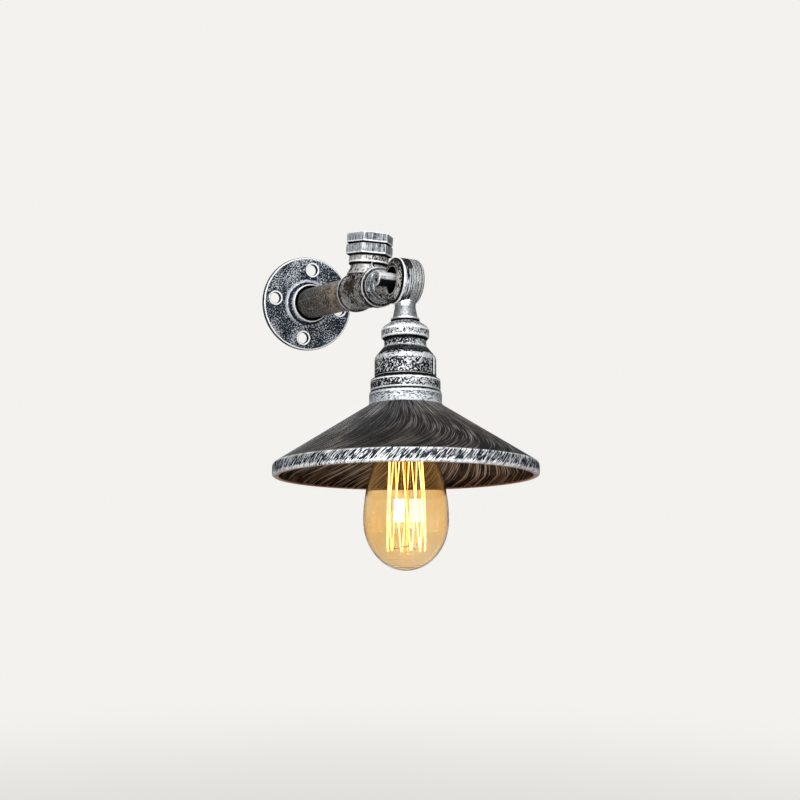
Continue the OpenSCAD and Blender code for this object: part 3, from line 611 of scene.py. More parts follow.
def bolt_highlight_and_shade(g):
    """The bolt: a painted highlight on top, painted shade underneath and in the socket in its end."""
    height, radius, _, down = g.polar(HINGE)
    end = span("clamp_bolt", HINGE)[0]
    on_side = g.step(height, end + 0.0004, end + 0.0009)
    bright = g.times(g.within(down, -0.92, -0.45, 0.15), on_side, 0.8)
    under = g.times(g.step(down, -0.15, 0.20), on_side)
    at_end = g.step(height, end + 0.0010, end + 0.0006)
    socket = g.times(g.step(radius, BOLT_SOCKET_R + 0.0003, BOLT_SOCKET_R), at_end)
    return bright, g.most(under, socket)


# Lampholder
def stem_lines(g):
    """The stem: a bright lip on its collar with painted shade under it."""
    height = g.height(LAMP)
    collar_end = span("holder_cap", LAMP)[0]
    lip = g.line(height, collar_end - 0.0016, 0.0005)
    return lip, g.step(height, collar_end - 0.0008, collar_end - 0.0004)


def cap_lines(g):
    """The lampholder's cap: bright upper edge and lower lip, painted shade under its boss and beneath it."""
    height = g.height(LAMP)
    low, high = span("holder_cap", LAMP)
    lips = g.lines(height, (low + 0.0074, high - 0.0011), 0.0005)
    under_stem = g.step(height, low + 0.0009, low + 0.0005)
    under_boss = g.times(g.line(height, low + 0.0034, 0.0002), 0.8)
    beneath = g.step(height, high - 0.0004, high - 0.0001)
    return lips, g.most(under_stem, under_boss, beneath)


def body_shade_and_highlight(g):
    """The body's neck in painted shade, its belt, its ledge in painted highlight and its darker foot."""
    height = g.height(LAMP)
    cap_end = span("holder_cap", LAMP)[1]
    body_end = span("shade_ring", LAMP)[0]
    neck = g.step(height, cap_end + 0.0014, cap_end + 0.0024, 0.25, 0.0)
    belt = g.times(g.within(height, cap_end + BELT[0], cap_end + BELT[1], 0.0006), 0.01)
    ledge = g.times(g.within(height, cap_end + LEDGE[0], cap_end + LEDGE[1], 0.0008), -0.16)
    foot = g.step(height, body_end - 0.0030, body_end - 0.0008, 0.0, 0.14)
    return g.plus(neck, belt, ledge, foot)


def body_lines(g):
    """The body: the belt's lower lip, the ragged throat below it in painted shade, and the cast rib."""
    height = g.height(LAMP)
    cap_end = span("holder_cap", LAMP)[1]
    body_end = span("shade_ring", LAMP)[0]
    ragged = g.plus(height, g.step(g.noise(HOLDER_GRAIN, 2.0), 0.3, 0.7, -0.0011, 0.0011))
    belt_lip = g.times(g.line(ragged, cap_end + BELT_LIP, 0.0003), 0.45)
    throat = g.times(g.within(ragged, cap_end + THROAT[0], cap_end + THROAT[1], 0.0007), 0.93)
    # Painted shade under the cap and above the band
    under_cap = g.step(height, cap_end + 0.0018, cap_end + 0.0012)
    on_band = g.step(height, body_end - 0.0010, body_end - 0.0003, 0.0, 0.85)
    crest, beside_rib = rib_lines(g, cap_end + SIDE_START, body_end - 0.0005)
    return g.most(belt_lip, crest), g.most(throat, under_cap, on_band, beside_rib)


def rib_lines(g, low, high):
    """The cast rib on the body's straight side: its bright crest, and painted shade on both sides of it."""
    height, radius, cosine, sine = g.polar(LAMP)
    side_r, (rib_x, rib_y) = rib_place(low, high)
    across = g.minus(g.times(sine, rib_x), g.times(cosine, rib_y))
    facing = g.plus(g.times(cosine, rib_x), g.times(sine, rib_y))
    near = g.times(g.step(facing, 0.9, 0.95), g.step(height, low + 0.0005, low + 0.0020))
    crest = g.times(g.step(radius, side_r + 0.0003, side_r + 0.0006), near)
    at_foot = g.step(radius, side_r + 0.0005, side_r + 0.0003)
    return crest, g.times(g.within(g.size(across), 0.030, 0.075, 0.010), near, at_foot)


def rib_place(low, high):
    """Radius of the body's straight side between two heights, and the direction of its cast rib."""
    points = corners("holder_body") - np.array(LAMP.origin)
    heights = points @ np.array(LAMP.main)
    x = points @ np.array(LAMP.side)
    y = points @ np.array(LAMP.other)
    radii = np.hypot(x, y)
    on_side = (heights > low) & (heights < high)
    rib_r = float(radii[on_side].max())
    crest = on_side & (radii > rib_r - 0.0002)
    turn = math.atan2(float(y[crest].mean()), float(x[crest].mean()))
    return rib_r - RIB_H, (math.cos(turn), math.sin(turn))


def band_lines(g):
    """The band below the body: painted shade at its seat, bright upper lip, thin bright lower lip, painted
    shade underneath.
    """
    height = g.height(LAMP)
    low, high = span("shade_ring", LAMP)
    lips = g.lines(height, (low + 0.0031, high - 0.0007), 0.0003)
    seat = g.step(height, low + 0.0024, low + 0.0020)
    return lips, g.most(seat, g.step(height, high - 0.0002, high))


def pipe_finish():
    """Brown-black pipe: darker by the wall, rust towards the tee, worn grain all over, painted shade in its
    corners.
    """
    g = material_graph("brown_pipe")
    fine = g.noise(700.0, 3.0, 0.6)
    mottle = g.noise(120.0, 4.0, 0.6)
    along = g.height(ARM)
    rust = g.times(g.step(g.noise(60.0, 3.0), 0.40, 0.60), g.step(along, 0.05, 0.095, 0.03, 0.95))
    tone = g.mix(g.step(mottle, 0.40, 0.60), (0.004, 0.004, 0.005), (0.050, 0.043, 0.037))
    tone = g.mix(g.step(along, 0.080, 0.035, 0.0, 0.8), tone, (0.009, 0.011, 0.014))
    tone = g.mix(rust, tone, (0.27, 0.205, 0.15))
    tone = g.mix(g.step(fine, 0.52, 0.59, 0.0, 0.65), tone, (0.40, 0.365, 0.33))
    tone = g.mix(g.step(fine, 0.48, 0.41, 0.0, 0.85), tone, BLACK_AND_SHADE)
    # Painted shade: near-black in the corners at the flange and the tee
    return g.surface(
        Base_Color=g.mix(g.exposed(0.006, 0.3, 0.9), BLACK_AND_SHADE, tone),
        Metallic=0.1,
        Roughness=g.step(mottle, 0.3, 0.7, 0.45, 0.65),
        Specular_IOR_Level=0.2,
        Normal=g.bump(g.plus(fine, mottle), 0.35, 0.0003),
    )


# Shade
def combed(g, around, along, top, bottom):
    """Strokes that run down the shade together: to the left on its left, to the right on its right."""
    height, _, cosine, sine = g.polar(LAMP)
    share = g.math("DIVIDE", g.minus(height, top), bottom - top)
    lean = g.plus(g.times(cosine, -0.45), g.times(sine, 0.30))
    bulge = g.times(g.math("SINE", g.times(share, math.pi)), -0.22)
    slow = g.combine(cosine, sine, g.times(height, 12.0))
    wave = g.times(g.minus(g.noise(1.0, 1.0, 0.4, at=slow), 0.5), 0.07)
    x, y = g.turned(cosine, sine, g.plus(g.times(lean, share), bulge, wave))
    return g.combine(g.times(x, around), g.times(y, around), g.times(height, along))


def shade_cone(g, grain, top, bottom):
    """The cone's colour and its strokes, which are silver and warm, and fewest at its front."""
    _, radius, cosine, sine = g.polar(LAMP)
    cloud = g.noise(30.0, 2.0, 0.5)
    fewer_low = g.step(radius, 0.030, 0.085, 0.01, -0.02)
    fine = g.plus(g.noise(1.0, 1.0, 0.5, at=combed(g, 205.0, 70.0, top, bottom)), fewer_low)
    broad = g.plus(g.noise(1.0, 1.0, 0.5, at=combed(g, 135.0, 55.0, top, bottom)), fewer_low)
    across = g.plus(g.times(cosine, 0.90), g.times(sine, 0.42), 0.15)
    sideways = g.step(g.size(across), 0.10, 0.60, 0.40, 1.0)
    strokes = g.most(g.step(fine, 0.565, 0.64), g.step(broad, 0.60, 0.67, 0.0, 0.75))
    broken = g.times(g.step(cloud, 0.32, 0.60, 0.40, 1.0), g.step(grain, 0.32, 0.50, 0.40, 1.0))
    strokes = g.times(strokes, sideways, broken)
    light = g.mix(g.step(g.noise(9.0, 1.0), 0.40, 0.62), (0.52, 0.52, 0.54), (0.44, 0.38, 0.33))
    colour = g.mix(g.step(grain, 0.38, 0.62), (0.0020, 0.0022, 0.0030), (0.015, 0.0145, 0.0145))
    colour = g.mix(g.step(cloud, 0.4, 0.7, 0.0, 0.6), colour, (0.013, 0.010, 0.008))
    return g.mix(g.times(strokes, 0.85), colour, light), strokes


def shade_rim(g, bottom):
    """The rim's colour, where it is silvered and its strokes, which are densest along its edges."""
    height = g.height(LAMP)
    top = bottom - RIM_H
    strokes = g.noise(1.0, 2.0, 0.6, at=g.wound(LAMP, 135.0, 200.0, 9.0))
    upper_edge = g.step(height, top + 0.0020, top - 0.0002)
    lower_edge = g.step(height, bottom - 0.0032, bottom - 0.0010)
    silvered = g.step(g.plus(strokes, g.times(g.plus(upper_edge, lower_edge), 0.11)), 0.53, 0.60)
    return g.mix(silvered, (0.008, 0.012, 0.019), (0.80, 0.82, 0.84)), silvered, strokes


def shade_collar(g, grain, top):
    """The collar's colour and where it is silvered: turned lines below a bright line and a seat in painted
    shade.
    """
    height = g.height(LAMP)
    turned = g.noise(1.0, 2.5, 0.6, at=g.wound(LAMP, 14.0, 1500.0))
    lighter = g.step(height, top + 0.0040, top + 0.0070, 0.0, 0.05)
    silvered = g.step(g.plus(g.blend(0.72, grain, turned), lighter), 0.46, 0.58)
    below_seat = g.step(height, top + 0.0011, top + 0.0016)
    silvered = g.times(g.most(silvered, g.line(height, top + 0.0025, 0.0005)), below_seat)
    colour = g.mix(silvered, (0.040, 0.046, 0.055), (0.56, 0.59, 0.625))
    return g.mix(below_seat, BLACK_AND_SHADE, colour), silvered


def shade_inside(g):
    """The inside's colour: brown, with scratches that grow towards the rim."""
    radius = g.polar(LAMP)[1]
    scratch = g.noise(1.0, 2.0, 0.5, at=g.wound(LAMP, 80.0, 40.0, -16.0))
    scratched = g.times(g.step(scratch, 0.54, 0.63, 0.0, 0.9), g.step(radius, 0.050, 0.088, 0.25, 1.0))
    brown = g.mix(g.step(g.noise(90.0, 3.0), 0.35, 0.65), (0.012, 0.008, 0.006), (0.085, 0.050, 0.032))
    return g.mix(scratched, brown, (0.55, 0.42, 0.31))


def shade_finish():
    """Spun shade: brushed collar, near-black cone with fine strokes, silvered rim, brown inside."""
    g = material_graph("spun_shade")
    away = g.away(LAMP)
    height = g.dot(away, LAMP.main)
    outward = g.minus(g.dot(g.normal, away), g.times(g.dot(g.normal, LAMP.main), height))
    outside = g.step(outward, -0.0015, 0.0015)
    bottom = span("shade", LAMP)[1]
    rim_start = bottom - RIM_H
    collar_start = span("shade_ring", LAMP)[1]
    collar_end = collar_start + COLLAR_H

    grain = g.noise(1100.0, 3.0, 0.6)
    cone, strokes = shade_cone(g, grain, collar_end, bottom)
    rim, rim_silver, rim_strokes = shade_rim(g, bottom)
    collar, collar_silver = shade_collar(g, grain, collar_start)
    in_rim = g.step(height, rim_start - 0.0006, rim_start + 0.0006)
    in_collar = g.step(height, collar_end + 0.0008, collar_end - 0.0004)
    colour = g.mix(in_collar, g.mix(in_rim, cone, rim), collar)
    colour = g.mix(outside, shade_inside(g), colour)
    # The bulb's warm glow, painted in copper on the inner lip
    lip_glow = g.times(g.step(height, bottom - 0.0012, bottom - 0.0003), g.opposite(outside), 0.85)
    silvered = g.times(outside, g.most(g.times(in_rim, rim_silver), g.times(in_collar, collar_silver)))
    shine = g.most(silvered, g.times(strokes, 0.5))
    return g.surface(
        Base_Color=g.mix(lip_glow, colour, BULB_GLOW_COPPER),
        Metallic=g.blend(shine, 0.0, 0.3),
        Roughness=g.blend(shine, 0.60, 0.36),
        Specular_IOR_Level=g.blend(shine, 0.05, 0.8),
        Normal=g.bump(g.plus(strokes, rim_strokes, grain), 0.3, 0.0002),
    )


# Plain materials
def plain_metal(name, colour, worn, rough):
    """Turned or drawn metal with fine marks and slight tarnish."""
    g = material_graph(name)
    marks = g.noise(500.0, 3.0, 0.6)
    stain = g.noise(60.0, 2.0)
    tone = g.mix(g.step(stain, 0.35, 0.7), colour, worn)
    return g.surface(
        Base_Color=g.mix(g.step(marks, 0.55, 0.75, 0.0, 0.25), tone, worn),
        Metallic=0.9,
        Roughness=g.step(marks, 0.3, 0.7, rough - 0.06, rough + 0.08),
        Normal=g.bump(marks, 0.2, 0.0001),
    )


def matt(name, colour, other, rough, scale=600.0, coat=0.0, gloss=0.5):
    """Rubber, fibre, porcelain or insulation with its own fine mottling."""
    g = material_graph(name)
    grain = g.noise(scale, 3.0, 0.6)
    return g.surface(
        Base_Color=g.mix(g.step(grain, 0.35, 0.7), colour, other),
        Roughness=g.step(grain, 0.3, 0.7, rough - 0.06, rough + 0.06),
        Specular_IOR_Level=gloss,
        Coat_Weight=coat,
        Normal=g.bump(grain, 0.25, 0.0001),
    )


def clear_glass(name, tint, deep, rim, rough=0.0, coat=0.0):
    """Blown glass: a tint that deepens in slow waves and towards its outline, with faint ripples."""
    g = material_graph(name)
    wave = g.noise(28.0, 2.0, 0.5)
    facing = g.add("ShaderNodeLayerWeight").outputs["Facing"]
    tone = g.mix(g.step(wave, 0.3, 0.7), tint, deep)
    return g.surface(
        Base_Color=g.mix(g.step(facing, 0.62, 1.0), tone, rim),
        Transmission_Weight=1.0,
        IOR=1.46,
        Roughness=rough,
        Coat_Weight=coat,
        Coat_IOR=1.8,
        Coat_Roughness=0.01,
        Normal=g.bump(wave, 0.10, 0.0006),
    )


def glowing(name, warm, hot, strength):
    """Heated filament: white-hot lengths between slightly cooler ones."""
    g = material_graph(name)
    along = g.noise(160.0, 2.0, 0.5)
    return g.surface(
        Base_Color=(0.9, 0.7, 0.4),
        Roughness=0.6,
        Emission_Color=g.mix(g.step(along, 0.3, 0.65), warm, hot),
        Emission_Strength=strength,
    )


def wire_colours():
    """Insulation of the three cores: brown, green and blue by the side that each runs on."""
    g = material_graph("core_insulation")
    side = g.dot(g.away(ARM), BRANCH.main)
    tone = g.mix(g.step(side, -0.0014, -0.0010), (0.16, 0.075, 0.035), (0.08, 0.20, 0.06))
    tone = g.mix(g.step(side, 0.0010, 0.0014), tone, (0.035, 0.09, 0.26))
    grain = g.noise(900.0, 2.0)
    return g.surface(
        Base_Color=g.mix(g.step(grain, 0.4, 0.7, 0.0, 0.2), tone, (0.3, 0.3, 0.3)),
        Roughness=g.step(grain, 0.3, 0.7, 0.42, 0.55),
        Normal=g.bump(grain, 0.15, 0.0001),
    )


def paint(material, *nodes):
    """Gives CAD nodes a material on their own slots."""
    for name in nodes:
        for slot in frame["nodes"][name].material_slots:
            slot.material = material


# Meshes
def new_piece(name, vertices, faces, material, body):
    """A mesh that rides on a body."""
    mesh = bpy.data.meshes.new(name)
    mesh.from_pydata([tuple(v) for v in vertices], [], faces)
    mesh.polygons.foreach_set("use_smooth", [True] * len(mesh.polygons))
    mesh.materials.append(material)
    mesh.update()
    piece = bpy.data.objects.new(name, mesh)
    bpy.context.scene.collection.objects.link(piece)
    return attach(piece, body)


def tube(path, radius, sides=8):
    """Vertices and faces of a round tube along a path, closed at its ends."""
    vertices, faces = [], []
    up = Vector((0.31, 0.17, 0.93))
    for i, point in enumerate(path):
        along = (path[min(i + 1, len(path) - 1)] - path[max(i - 1, 0)]).normalized()
        up = (up - along * up.dot(along)).normalized()
        across = along.cross(up)
        for k in range(sides):
            a = math.tau * k / sides
            vertices.append(point + radius * (math.cos(a) * up + math.sin(a) * across))
    for i in range(len(path) - 1):
        for k in range(sides):
            n = (k + 1) % sides
            faces.append((i * sides + k, i * sides + n, (i + 1) * sides + n, (i + 1) * sides + k))
    last = (len(path) - 1) * sides
    faces.append(tuple(range(sides - 1, -1, -1)))
    faces.append(tuple(range(last, last + sides)))
    return vertices, faces


def join(parts):
    """Several sets of vertices and faces as one."""
    vertices, faces = [], []
    for more, rows in parts:
        start = len(vertices)
        vertices.extend(more)
        faces.extend(tuple(start + i for i in row) for row in rows)
    return vertices, faces


def smooth_path(points, steps):
    """A Catmull-Rom curve through points, with steps between each pair."""
    ends = [2 * points[0] - points[1], *points, 2 * points[-1] - points[-2]]
    path = []
    for i in range(1, len(ends) - 2):
        a, b, c, d = ends[i - 1:i + 3]
        for k in range(steps):
            t = k / steps
            path.append(0.5 * (
                2 * b + (c - a) * t + (2 * a - 5 * b + 4 * c - d) * t * t + (3 * b - a - 3 * c + d) * t ** 3
            ))
    return [*path, points[-1].copy()]


def revolved(outline, swell, sides):
    """Vertices and faces of a closed outline turned round the lamp, swollen by angle and height."""
    vertices, faces = [], []
    for i in range(sides):
        a = math.tau * i / sides
        for r, h in outline:
            vertices.append(place(LAMP, r + swell(a, h), a, h))
    count = len(outline)
    for i in range(sides):
        n = (i + 1) % sides
        for k in range(count):
            m = (k + 1) % count
            faces.append((i * count + k, i * count + m, n * count + m, n * count + k))
    return vertices, faces


# Camera, floor, room and lights
def make_camera():
    """The photograph's camera."""
    back = direction(CAMERA_AZIMUTH, CAMERA_ELEVATION)
    right = (-back).cross(Vector((0, 0, 1))).normalized()
    up = right.cross(-back)
    c, s = math.cos(CAMERA_ROLL), math.sin(CAMERA_ROLL)
    turn = Matrix((c * right + s * up, c * up - s * right, back)).transposed().to_4x4()
    data = bpy.data.cameras.new("camera")
    data.lens = LENS_MM
    data.sensor_width = SENSOR_MM
    data.clip_start = 0.01
    data.clip_end = 60
    camera = bpy.data.objects.new("camera", data)
    camera.matrix_world = Matrix.Translation(CAMERA_TARGET + back * CAMERA_DISTANCE) @ turn
    bpy.context.scene.collection.objects.link(camera)
    bpy.context.scene.camera = camera


def pale_floor():
    """A floor with shadow near the lamp that fades into the pale room far from it."""
    g = material_graph("pale_floor")
    tone = g.mix(g.noise(6.0, 2.0), PALE, scaled(PALE, 0.985))
    far = g.step(g.vector("LENGTH", g.place), 1.2, 4.0, 0.55, 1.0)
    diffuse = g.add("ShaderNodeBsdfDiffuse")
    g.feed(diffuse.inputs["Color"], tone)
    glow = g.add("ShaderNodeEmission")
    g.feed(glow.inputs["Color"], PALE)
    blend = g.add("ShaderNodeMixShader")
    g.feed(blend.inputs[0], g.times(g.seen(), far))
    g.feed(blend.inputs[1], diffuse.outputs[0])
    g.feed(blend.inputs[2], glow.outputs[0])
    half = FLOOR_SIZE / 2
    mesh = bpy.data.meshes.new("floor")
    edge = [(-half, -half, 0), (half, -half, 0), (half, half, 0), (-half, half, 0)]
    mesh.from_pydata(edge, [], [(0, 1, 2, 3)])
    mesh.materials.append(g.show(blend))
    floor = bpy.data.objects.new("floor", mesh)
    floor.location = (0, 0, FLOOR_Z)
    bpy.context.scene.collection.objects.link(floor)


def make_world():
    """Pale to the camera and through glass, a dimmer room to everything else."""
    world = bpy.data.worlds.new("studio")
    bpy.context.scene.world = world
    g = Graph(world, "ShaderNodeOutputWorld")
    behind = g.dot(g.coords.outputs["Generated"], (0.0, 1.0, 0.0))
    room = g.step(behind, -0.5, 0.8, ROOM_FRONT, ROOM_BACK, kind="LINEAR")
    back = g.add("ShaderNodeBackground")
    g.feed(back.inputs["Color"], PALE)
    g.feed(back.inputs["Strength"], g.blend(g.seen(), room, 1.0))
    g.show(back)


def area_light(name, azimuth, elevation, distance, width, height, power):
    """A soft window that looks at the lamp from an azimuth and an elevation in degrees."""
    data = bpy.data.lights.new(name, "AREA")
    data.shape = "RECTANGLE"
    data.size = width
    data.size_y = height
    data.energy = power
    light = bpy.data.objects.new(name, data)
    back = direction(math.radians(azimuth), math.radians(elevation))
    light.location = (cad_low + cad_high) / 2 + back * distance
    light.rotation_mode = "QUATERNION"
    light.rotation_quaternion = (-back).to_track_quat("-Z", "Y")
    bpy.context.scene.collection.objects.link(light)


make_camera()
pale_floor()
make_world()
area_light("window_left", azimuth=-44, elevation=12, distance=1.9, width=1.0, height=0.7, power=27)
area_light("window_right", azimuth=4, elevation=12, distance=1.9, width=1.3, height=0.7, power=19)
area_light("ceiling", azimuth=-25, elevation=68, distance=1.8, width=1.0, height=1.0, power=22)
area_light("back_fill", azimuth=165, elevation=25, distance=2.4, width=1.6, height=1.6, power=14)

view = bpy.context.scene.view_settings
view.view_transform = "Standard"

# Castings
flange_iron = dry_brushed(
    "flange_casting", BLUE_BLACK, BLUE_GREY, SILVER, grain=820.0, cover=0.37, patch=0.06,
    where=flange_rings, accents=flange_lines,
)
tee_iron = dry_brushed(
    "tee_casting", BROWN_BLACK, (0.062, 0.048, 0.036), (0.50, 0.495, 0.485), grain=700.0, cover=0.39,
    patch=0.09, edge_w=0.0005, strokes=(ARM, 5.0, 900.0), stroke_mix=0.52,
    where=tee_front_highlight, accents=tee_lines,
)
hexagon_iron = dry_brushed(
    "hexagon_iron", (0.022, 0.026, 0.032), (0.13, 0.145, 0.165), (0.58, 0.62, 0.665), grain=600.0,
    cover=0.60, patch=0.07, strokes=(BRANCH, 70.0, 45.0), stroke_mix=0.85, accents=hexagon_lines,
)
front_hexagon_iron = dry_brushed(
    "front_hexagon_iron", (0.015, 0.018, 0.024), (0.12, 0.135, 0.155), (0.66, 0.70, 0.745), cover=0.60,
    strokes=(ARM, 30.0, 60.0), edge_w=0.0007,
)
paint(flange_iron, "wall_flange")
paint(pipe_finish(), "arm_pipe")
paint(tee_iron, "pipe_tee")
paint(hexagon_iron, "branch_bushing", "branch_plug")
paint(front_hexagon_iron, "front_bushing")

# Knuckle and stem
knuckle_iron = dry_brushed(
    "knuckle_casting", BROWN_BLACK, (0.05, 0.043, 0.036), (0.62, 0.61, 0.595), grain=800.0, cover=0.46,
    patch=0.10, edge_w=0.0008, accents=cup_lines,
)
drum_iron = dry_brushed(
    "drum_iron", (0.005, 0.005, 0.006), (0.035, 0.035, 0.038), (0.70, 0.72, 0.745), grain=900.0, cover=0.46,
    patch=0.06, strokes=(HINGE, 1.3, 1150.0), stroke_mix=0.94, metal=0.35, where=drum_shadow,
    accents=drum_lines,
)
bolt_iron = dry_brushed(
    "bolt_iron", (0.03, 0.024, 0.02), (0.13, 0.10, 0.08), (0.66, 0.67, 0.68), grain=1200.0, cover=0.66,
    patch=0.08, strokes=(HINGE, 20.0, 700.0), relief=0.2, metal=0.6, accents=bolt_highlight_and_shade,
)
stem_iron = dry_brushed(
    "stem_iron", (0.04, 0.042, 0.048), (0.16, 0.17, 0.185), (0.60, 0.63, 0.66), grain=1300.0, cover=0.76,
    patch=0.05, strokes=(LAMP, 5.0, 500.0), relief=0.3, metal=0.9, accents=stem_lines,
)
paint(knuckle_iron, "knuckle_barrel")
paint(drum_iron, "swivel_drum")
paint(bolt_iron, "clamp_bolt")
paint(stem_iron, "stem_nipple")

# Lampholder and shade
cap_iron = dry_brushed(
    "holder_cap_iron", BLACK_AND_SHADE, DULL_IRON, (0.60, 0.62, 0.64), grain=HOLDER_GRAIN, cover=0.57, patch=0.06,
    relief=0.6, accents=cap_lines,
)
band_iron = dry_brushed(
    "shade_band_iron", BLACK_AND_SHADE, DULL_IRON, (0.60, 0.625, 0.65), grain=HOLDER_GRAIN, cover=0.46, patch=0.06,
    relief=0.6, accents=band_lines,
)
body_iron = dry_brushed(
    "holder_body_iron", BLACK_AND_SHADE, DULL_IRON, (0.64, 0.665, 0.69), grain=HOLDER_GRAIN, cover=0.44, patch=0.06,
    relief=0.6, where=body_shade_and_highlight, accents=body_lines,
)
paint(cap_iron, "holder_cap")
paint(band_iron, "shade_ring")
paint(body_iron, "holder_body")
paint(shade_finish(), "shade")

# Inner parts
zinc_steel = plain_metal("zinc_steel", (0.42, 0.43, 0.45), (0.30, 0.30, 0.31), 0.4)
contact_brass = plain_metal("contact_brass", (0.62, 0.44, 0.17), (0.42, 0.28, 0.11), 0.34)
shell_brass = plain_metal("shell_brass", (0.60, 0.42, 0.17), (0.40, 0.27, 0.11), 0.36)
rubber = matt("seal_rubber", (0.004, 0.004, 0.004), (0.009, 0.009, 0.009), 0.8, gloss=0.1)
fibre = matt("pressed_fibre", (0.20, 0.12, 0.065), (0.12, 0.07, 0.04), 0.7)
porcelain = matt("white_porcelain", (0.80, 0.78, 0.72), (0.74, 0.71, 0.64), 0.3, scale=300.0, coat=0.6)
paint(zinc_steel, "shade_clamp_ring", "core_retainer", "spring_washer")
paint(contact_brass, "stem_locknut", "centre_contact", "shell_strap")
paint(contact_brass, "terminal_blocks", "terminal_screws", "earth_screw")
paint(shell_brass, "socket_shell")
paint(rubber, "plug_gasket")
paint(fibre, "friction_washer")
paint(porcelain, "socket_core")
paint(wire_colours(), "arm_wires", "stem_wires")

# Bulb
cap_brass = plain_metal("cap_brass", (0.66, 0.52, 0.28), (0.45, 0.34, 0.17), 0.32)
hook_wire = plain_metal("hook_wire", (0.75, 0.62, 0.40), (0.50, 0.38, 0.22), 0.35)
vitrite = matt("black_vitrite", (0.012, 0.012, 0.014), (0.03, 0.03, 0.034), 0.25, scale=400.0, coat=0.4)
amber = clear_glass("amber_glass", (0.975, 0.81, 0.55), (0.955, 0.73, 0.42), (0.66, 0.30, 0.07), coat=0.14)
mount = clear_glass("mount_glass", (0.98, 0.84, 0.42), (0.97, 0.78, 0.32), (0.8, 0.5, 0.15), rough=0.05)
hot_carbon = glowing("hot_carbon", (1.0, 0.52, 0.13), (1.0, 0.80, 0.42), 4.2)
paint(contact_brass, "bulb_tip")
paint(vitrite, "bulb_insulator")
paint(amber, "bulb_glass")
paint(mount, "bulb_stem")


def filament_cage():
    """Zigzag of bowed runs between hooks at the cage's top and its bottom."""
    low, high = span("bulb_filament", LAMP)
    top = low + CAGE_END_ROOM
    bottom = high - CAGE_END_ROOM
    wide = reach("bulb_filament", LAMP) - FILAMENT_R
    narrow = wide * CAGE_TAPER
    chance = random.Random(11)
    points = []
    turn = math.tau / CAGE_RUNS
    for k in range(CAGE_RUNS):
        start, end = (top, bottom) if k % 2 == 0 else (bottom, top)
        sway = chance.uniform(-CAGE_SWAY, CAGE_SWAY)
        for t in (0.04, 0.2, 0.4, 0.6, 0.8, 0.96):
            h = start + (end - start) * t
            share = (h - top) / (bottom - top)
            bow = math.sin(share * math.pi / 2 * CAGE_BELLY)
            r = narrow + (wide - narrow) * bow + sway * math.sin(t * math.pi)
            points.append(place(LAMP, r, CAGE_PHASE + turn * (k + 0.08 + 0.84 * t), h))
        if k < CAGE_RUNS - 1:
            bend_r = wide * BEND_SHARE if end == bottom else narrow
            bend_h = end + (BEND_H if end == bottom else -BEND_H)
            points.append(place(LAMP, bend_r, CAGE_PHASE + turn * (k + 1), bend_h))
    vertices, faces = tube(smooth_path(points, 5), FILAMENT_R)
    piece = new_piece("filament_cage", vertices, faces, hot_carbon, "bulb")
    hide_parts("bulb_filament")
    return top, bottom, narrow, wide


def filament_hooks(top, bottom, narrow, wide):
    """Wires from the glass mount, each bent into a small hook round a bend of the filament."""
    parts = []
    turn = math.tau / CAGE_RUNS
    for k in range(CAGE_RUNS + 1):
        at_top = k % 2 == 0
        angle = CAGE_PHASE + turn * (k if k < CAGE_RUNS else k - 0.12)
        height = top + 0.0004 if at_top else bottom - 0.0004
        sign = -1 if at_top else 1
        r = (narrow if at_top else wide * BEND_SHARE) - FILAMENT_R - HOOK_R
        inner = HOOK_TOP_R if at_top else HOOK_BOTTOM_R
        route = [
            place(LAMP, inner, angle, height - sign * 0.0030),
            place(LAMP, inner + 0.25 * (r - inner), angle, height - sign * 0.0015),
            place(LAMP, inner + 0.8 * (r - inner), angle, height - sign * 0.0006),
            place(LAMP, r, angle, height + sign * 0.0002),
            place(LAMP, r + 0.0008, angle, height + sign * 0.0014),
            place(LAMP, r + 0.0018, angle, height + sign * 0.0010),
        ]
        parts.append(tube(smooth_path(route, 4), HOOK_R, 6))
    vertices, faces = join(parts)
    piece = new_piece("filament_hooks", vertices, faces, hook_wire, "bulb")
    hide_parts("bulb_supports")


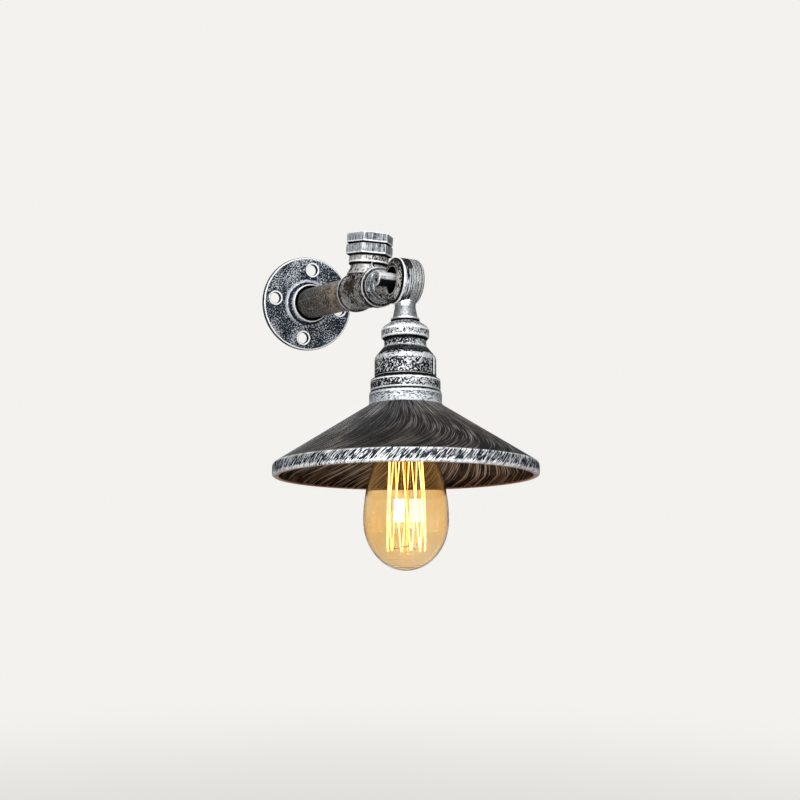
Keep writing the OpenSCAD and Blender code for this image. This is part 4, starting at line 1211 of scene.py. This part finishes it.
def bulb_thread():
    """The bulb's cap with its rolled thread, inside the CAD cap's own surface."""
    low, high = span("bulb_cap", LAMP)
    start = low + THREAD_END
    end = high - THREAD_END
    r = reach("bulb_cap", LAMP) - CAP_FLARE

    def swell(angle, height):
        if not start < height < end:
            return 0.0
        fade = min(1.0, (height - start) / THREAD_FADE, (end - height) / THREAD_FADE)
        return THREAD_DEPTH * fade * (0.5 - 0.5 * math.cos(math.tau * height / THREAD_PITCH - angle))

    rows = int((end - start) / THREAD_ROW)
    outer = [(CAP_TOP_R, low), (CAP_TOP_R + 0.0018, low + 0.0007), (r - 0.0006, start - 0.0008)]
    outer += [(r - THREAD_DEPTH, start + (end - start) * i / rows) for i in range(rows + 1)]
    outer += [(r, high - 0.0014), (r + CAP_FLARE, high)]
    inner = [(radius - CAP_WALL, height) for radius, height in reversed(outer)]
    vertices, faces = revolved(outer + inner, swell, CAP_SIDES)
    piece = new_piece("bulb_screw_cap", vertices, faces, cap_brass, "bulb")
    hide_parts("bulb_cap")


def tee_seam():
    """The tee's casting seam: a thin raised line down the front of its branch."""
    tree = BVHTree.FromObject(frame["nodes"]["pipe_tee"], bpy.context.evaluated_depsgraph_get())
    towards = -(FORWARD + BRANCH.main).normalized()
    face = span("pipe_tee", BRANCH)[1]
    top = BRANCH.main * (face - 0.0052) + FORWARD * 0.0165
    end = BRANCH.main * (face - 0.0095) + FORWARD * (TEE_FRONT - TEE_BACK) * 0.47
    across = HINGE_DIRECTION * SEAM_W / 2
    vertices, faces = [], []
    for i in range(SEAM_STEPS + 1):
        share = i / SEAM_STEPS
        aside = HINGE_DIRECTION * (-SEAM_LEAN * (1 - share) ** 1.5)
        start = BRANCH.origin + top.lerp(end, share) + aside - towards * 0.05
        hit, normal, _, _ = tree.ray_cast(start, towards)
        if hit is None:
            continue
        root = hit - normal * SEAM_ROOT
        lift = SEAM_H * min(1.0, 6 * share, 6 * (1 - share))
        vertices += [root - across, hit + normal * lift, root + across]
    for i in range(len(vertices) // 3 - 1):
        a = 3 * i
        faces += [(a, a + 1, a + 4, a + 3), (a + 1, a + 2, a + 5, a + 4), (a + 2, a, a + 3, a + 5)]
    silver = plain_metal("seam_silver", WORN_EDGE_AND_HIGHLIGHT, (0.75, 0.77, 0.79), 0.4)
    new_piece("tee_seam", vertices, faces, silver, "arm")


filament_hooks(*filament_cage())
bulb_thread()
tee_seam()
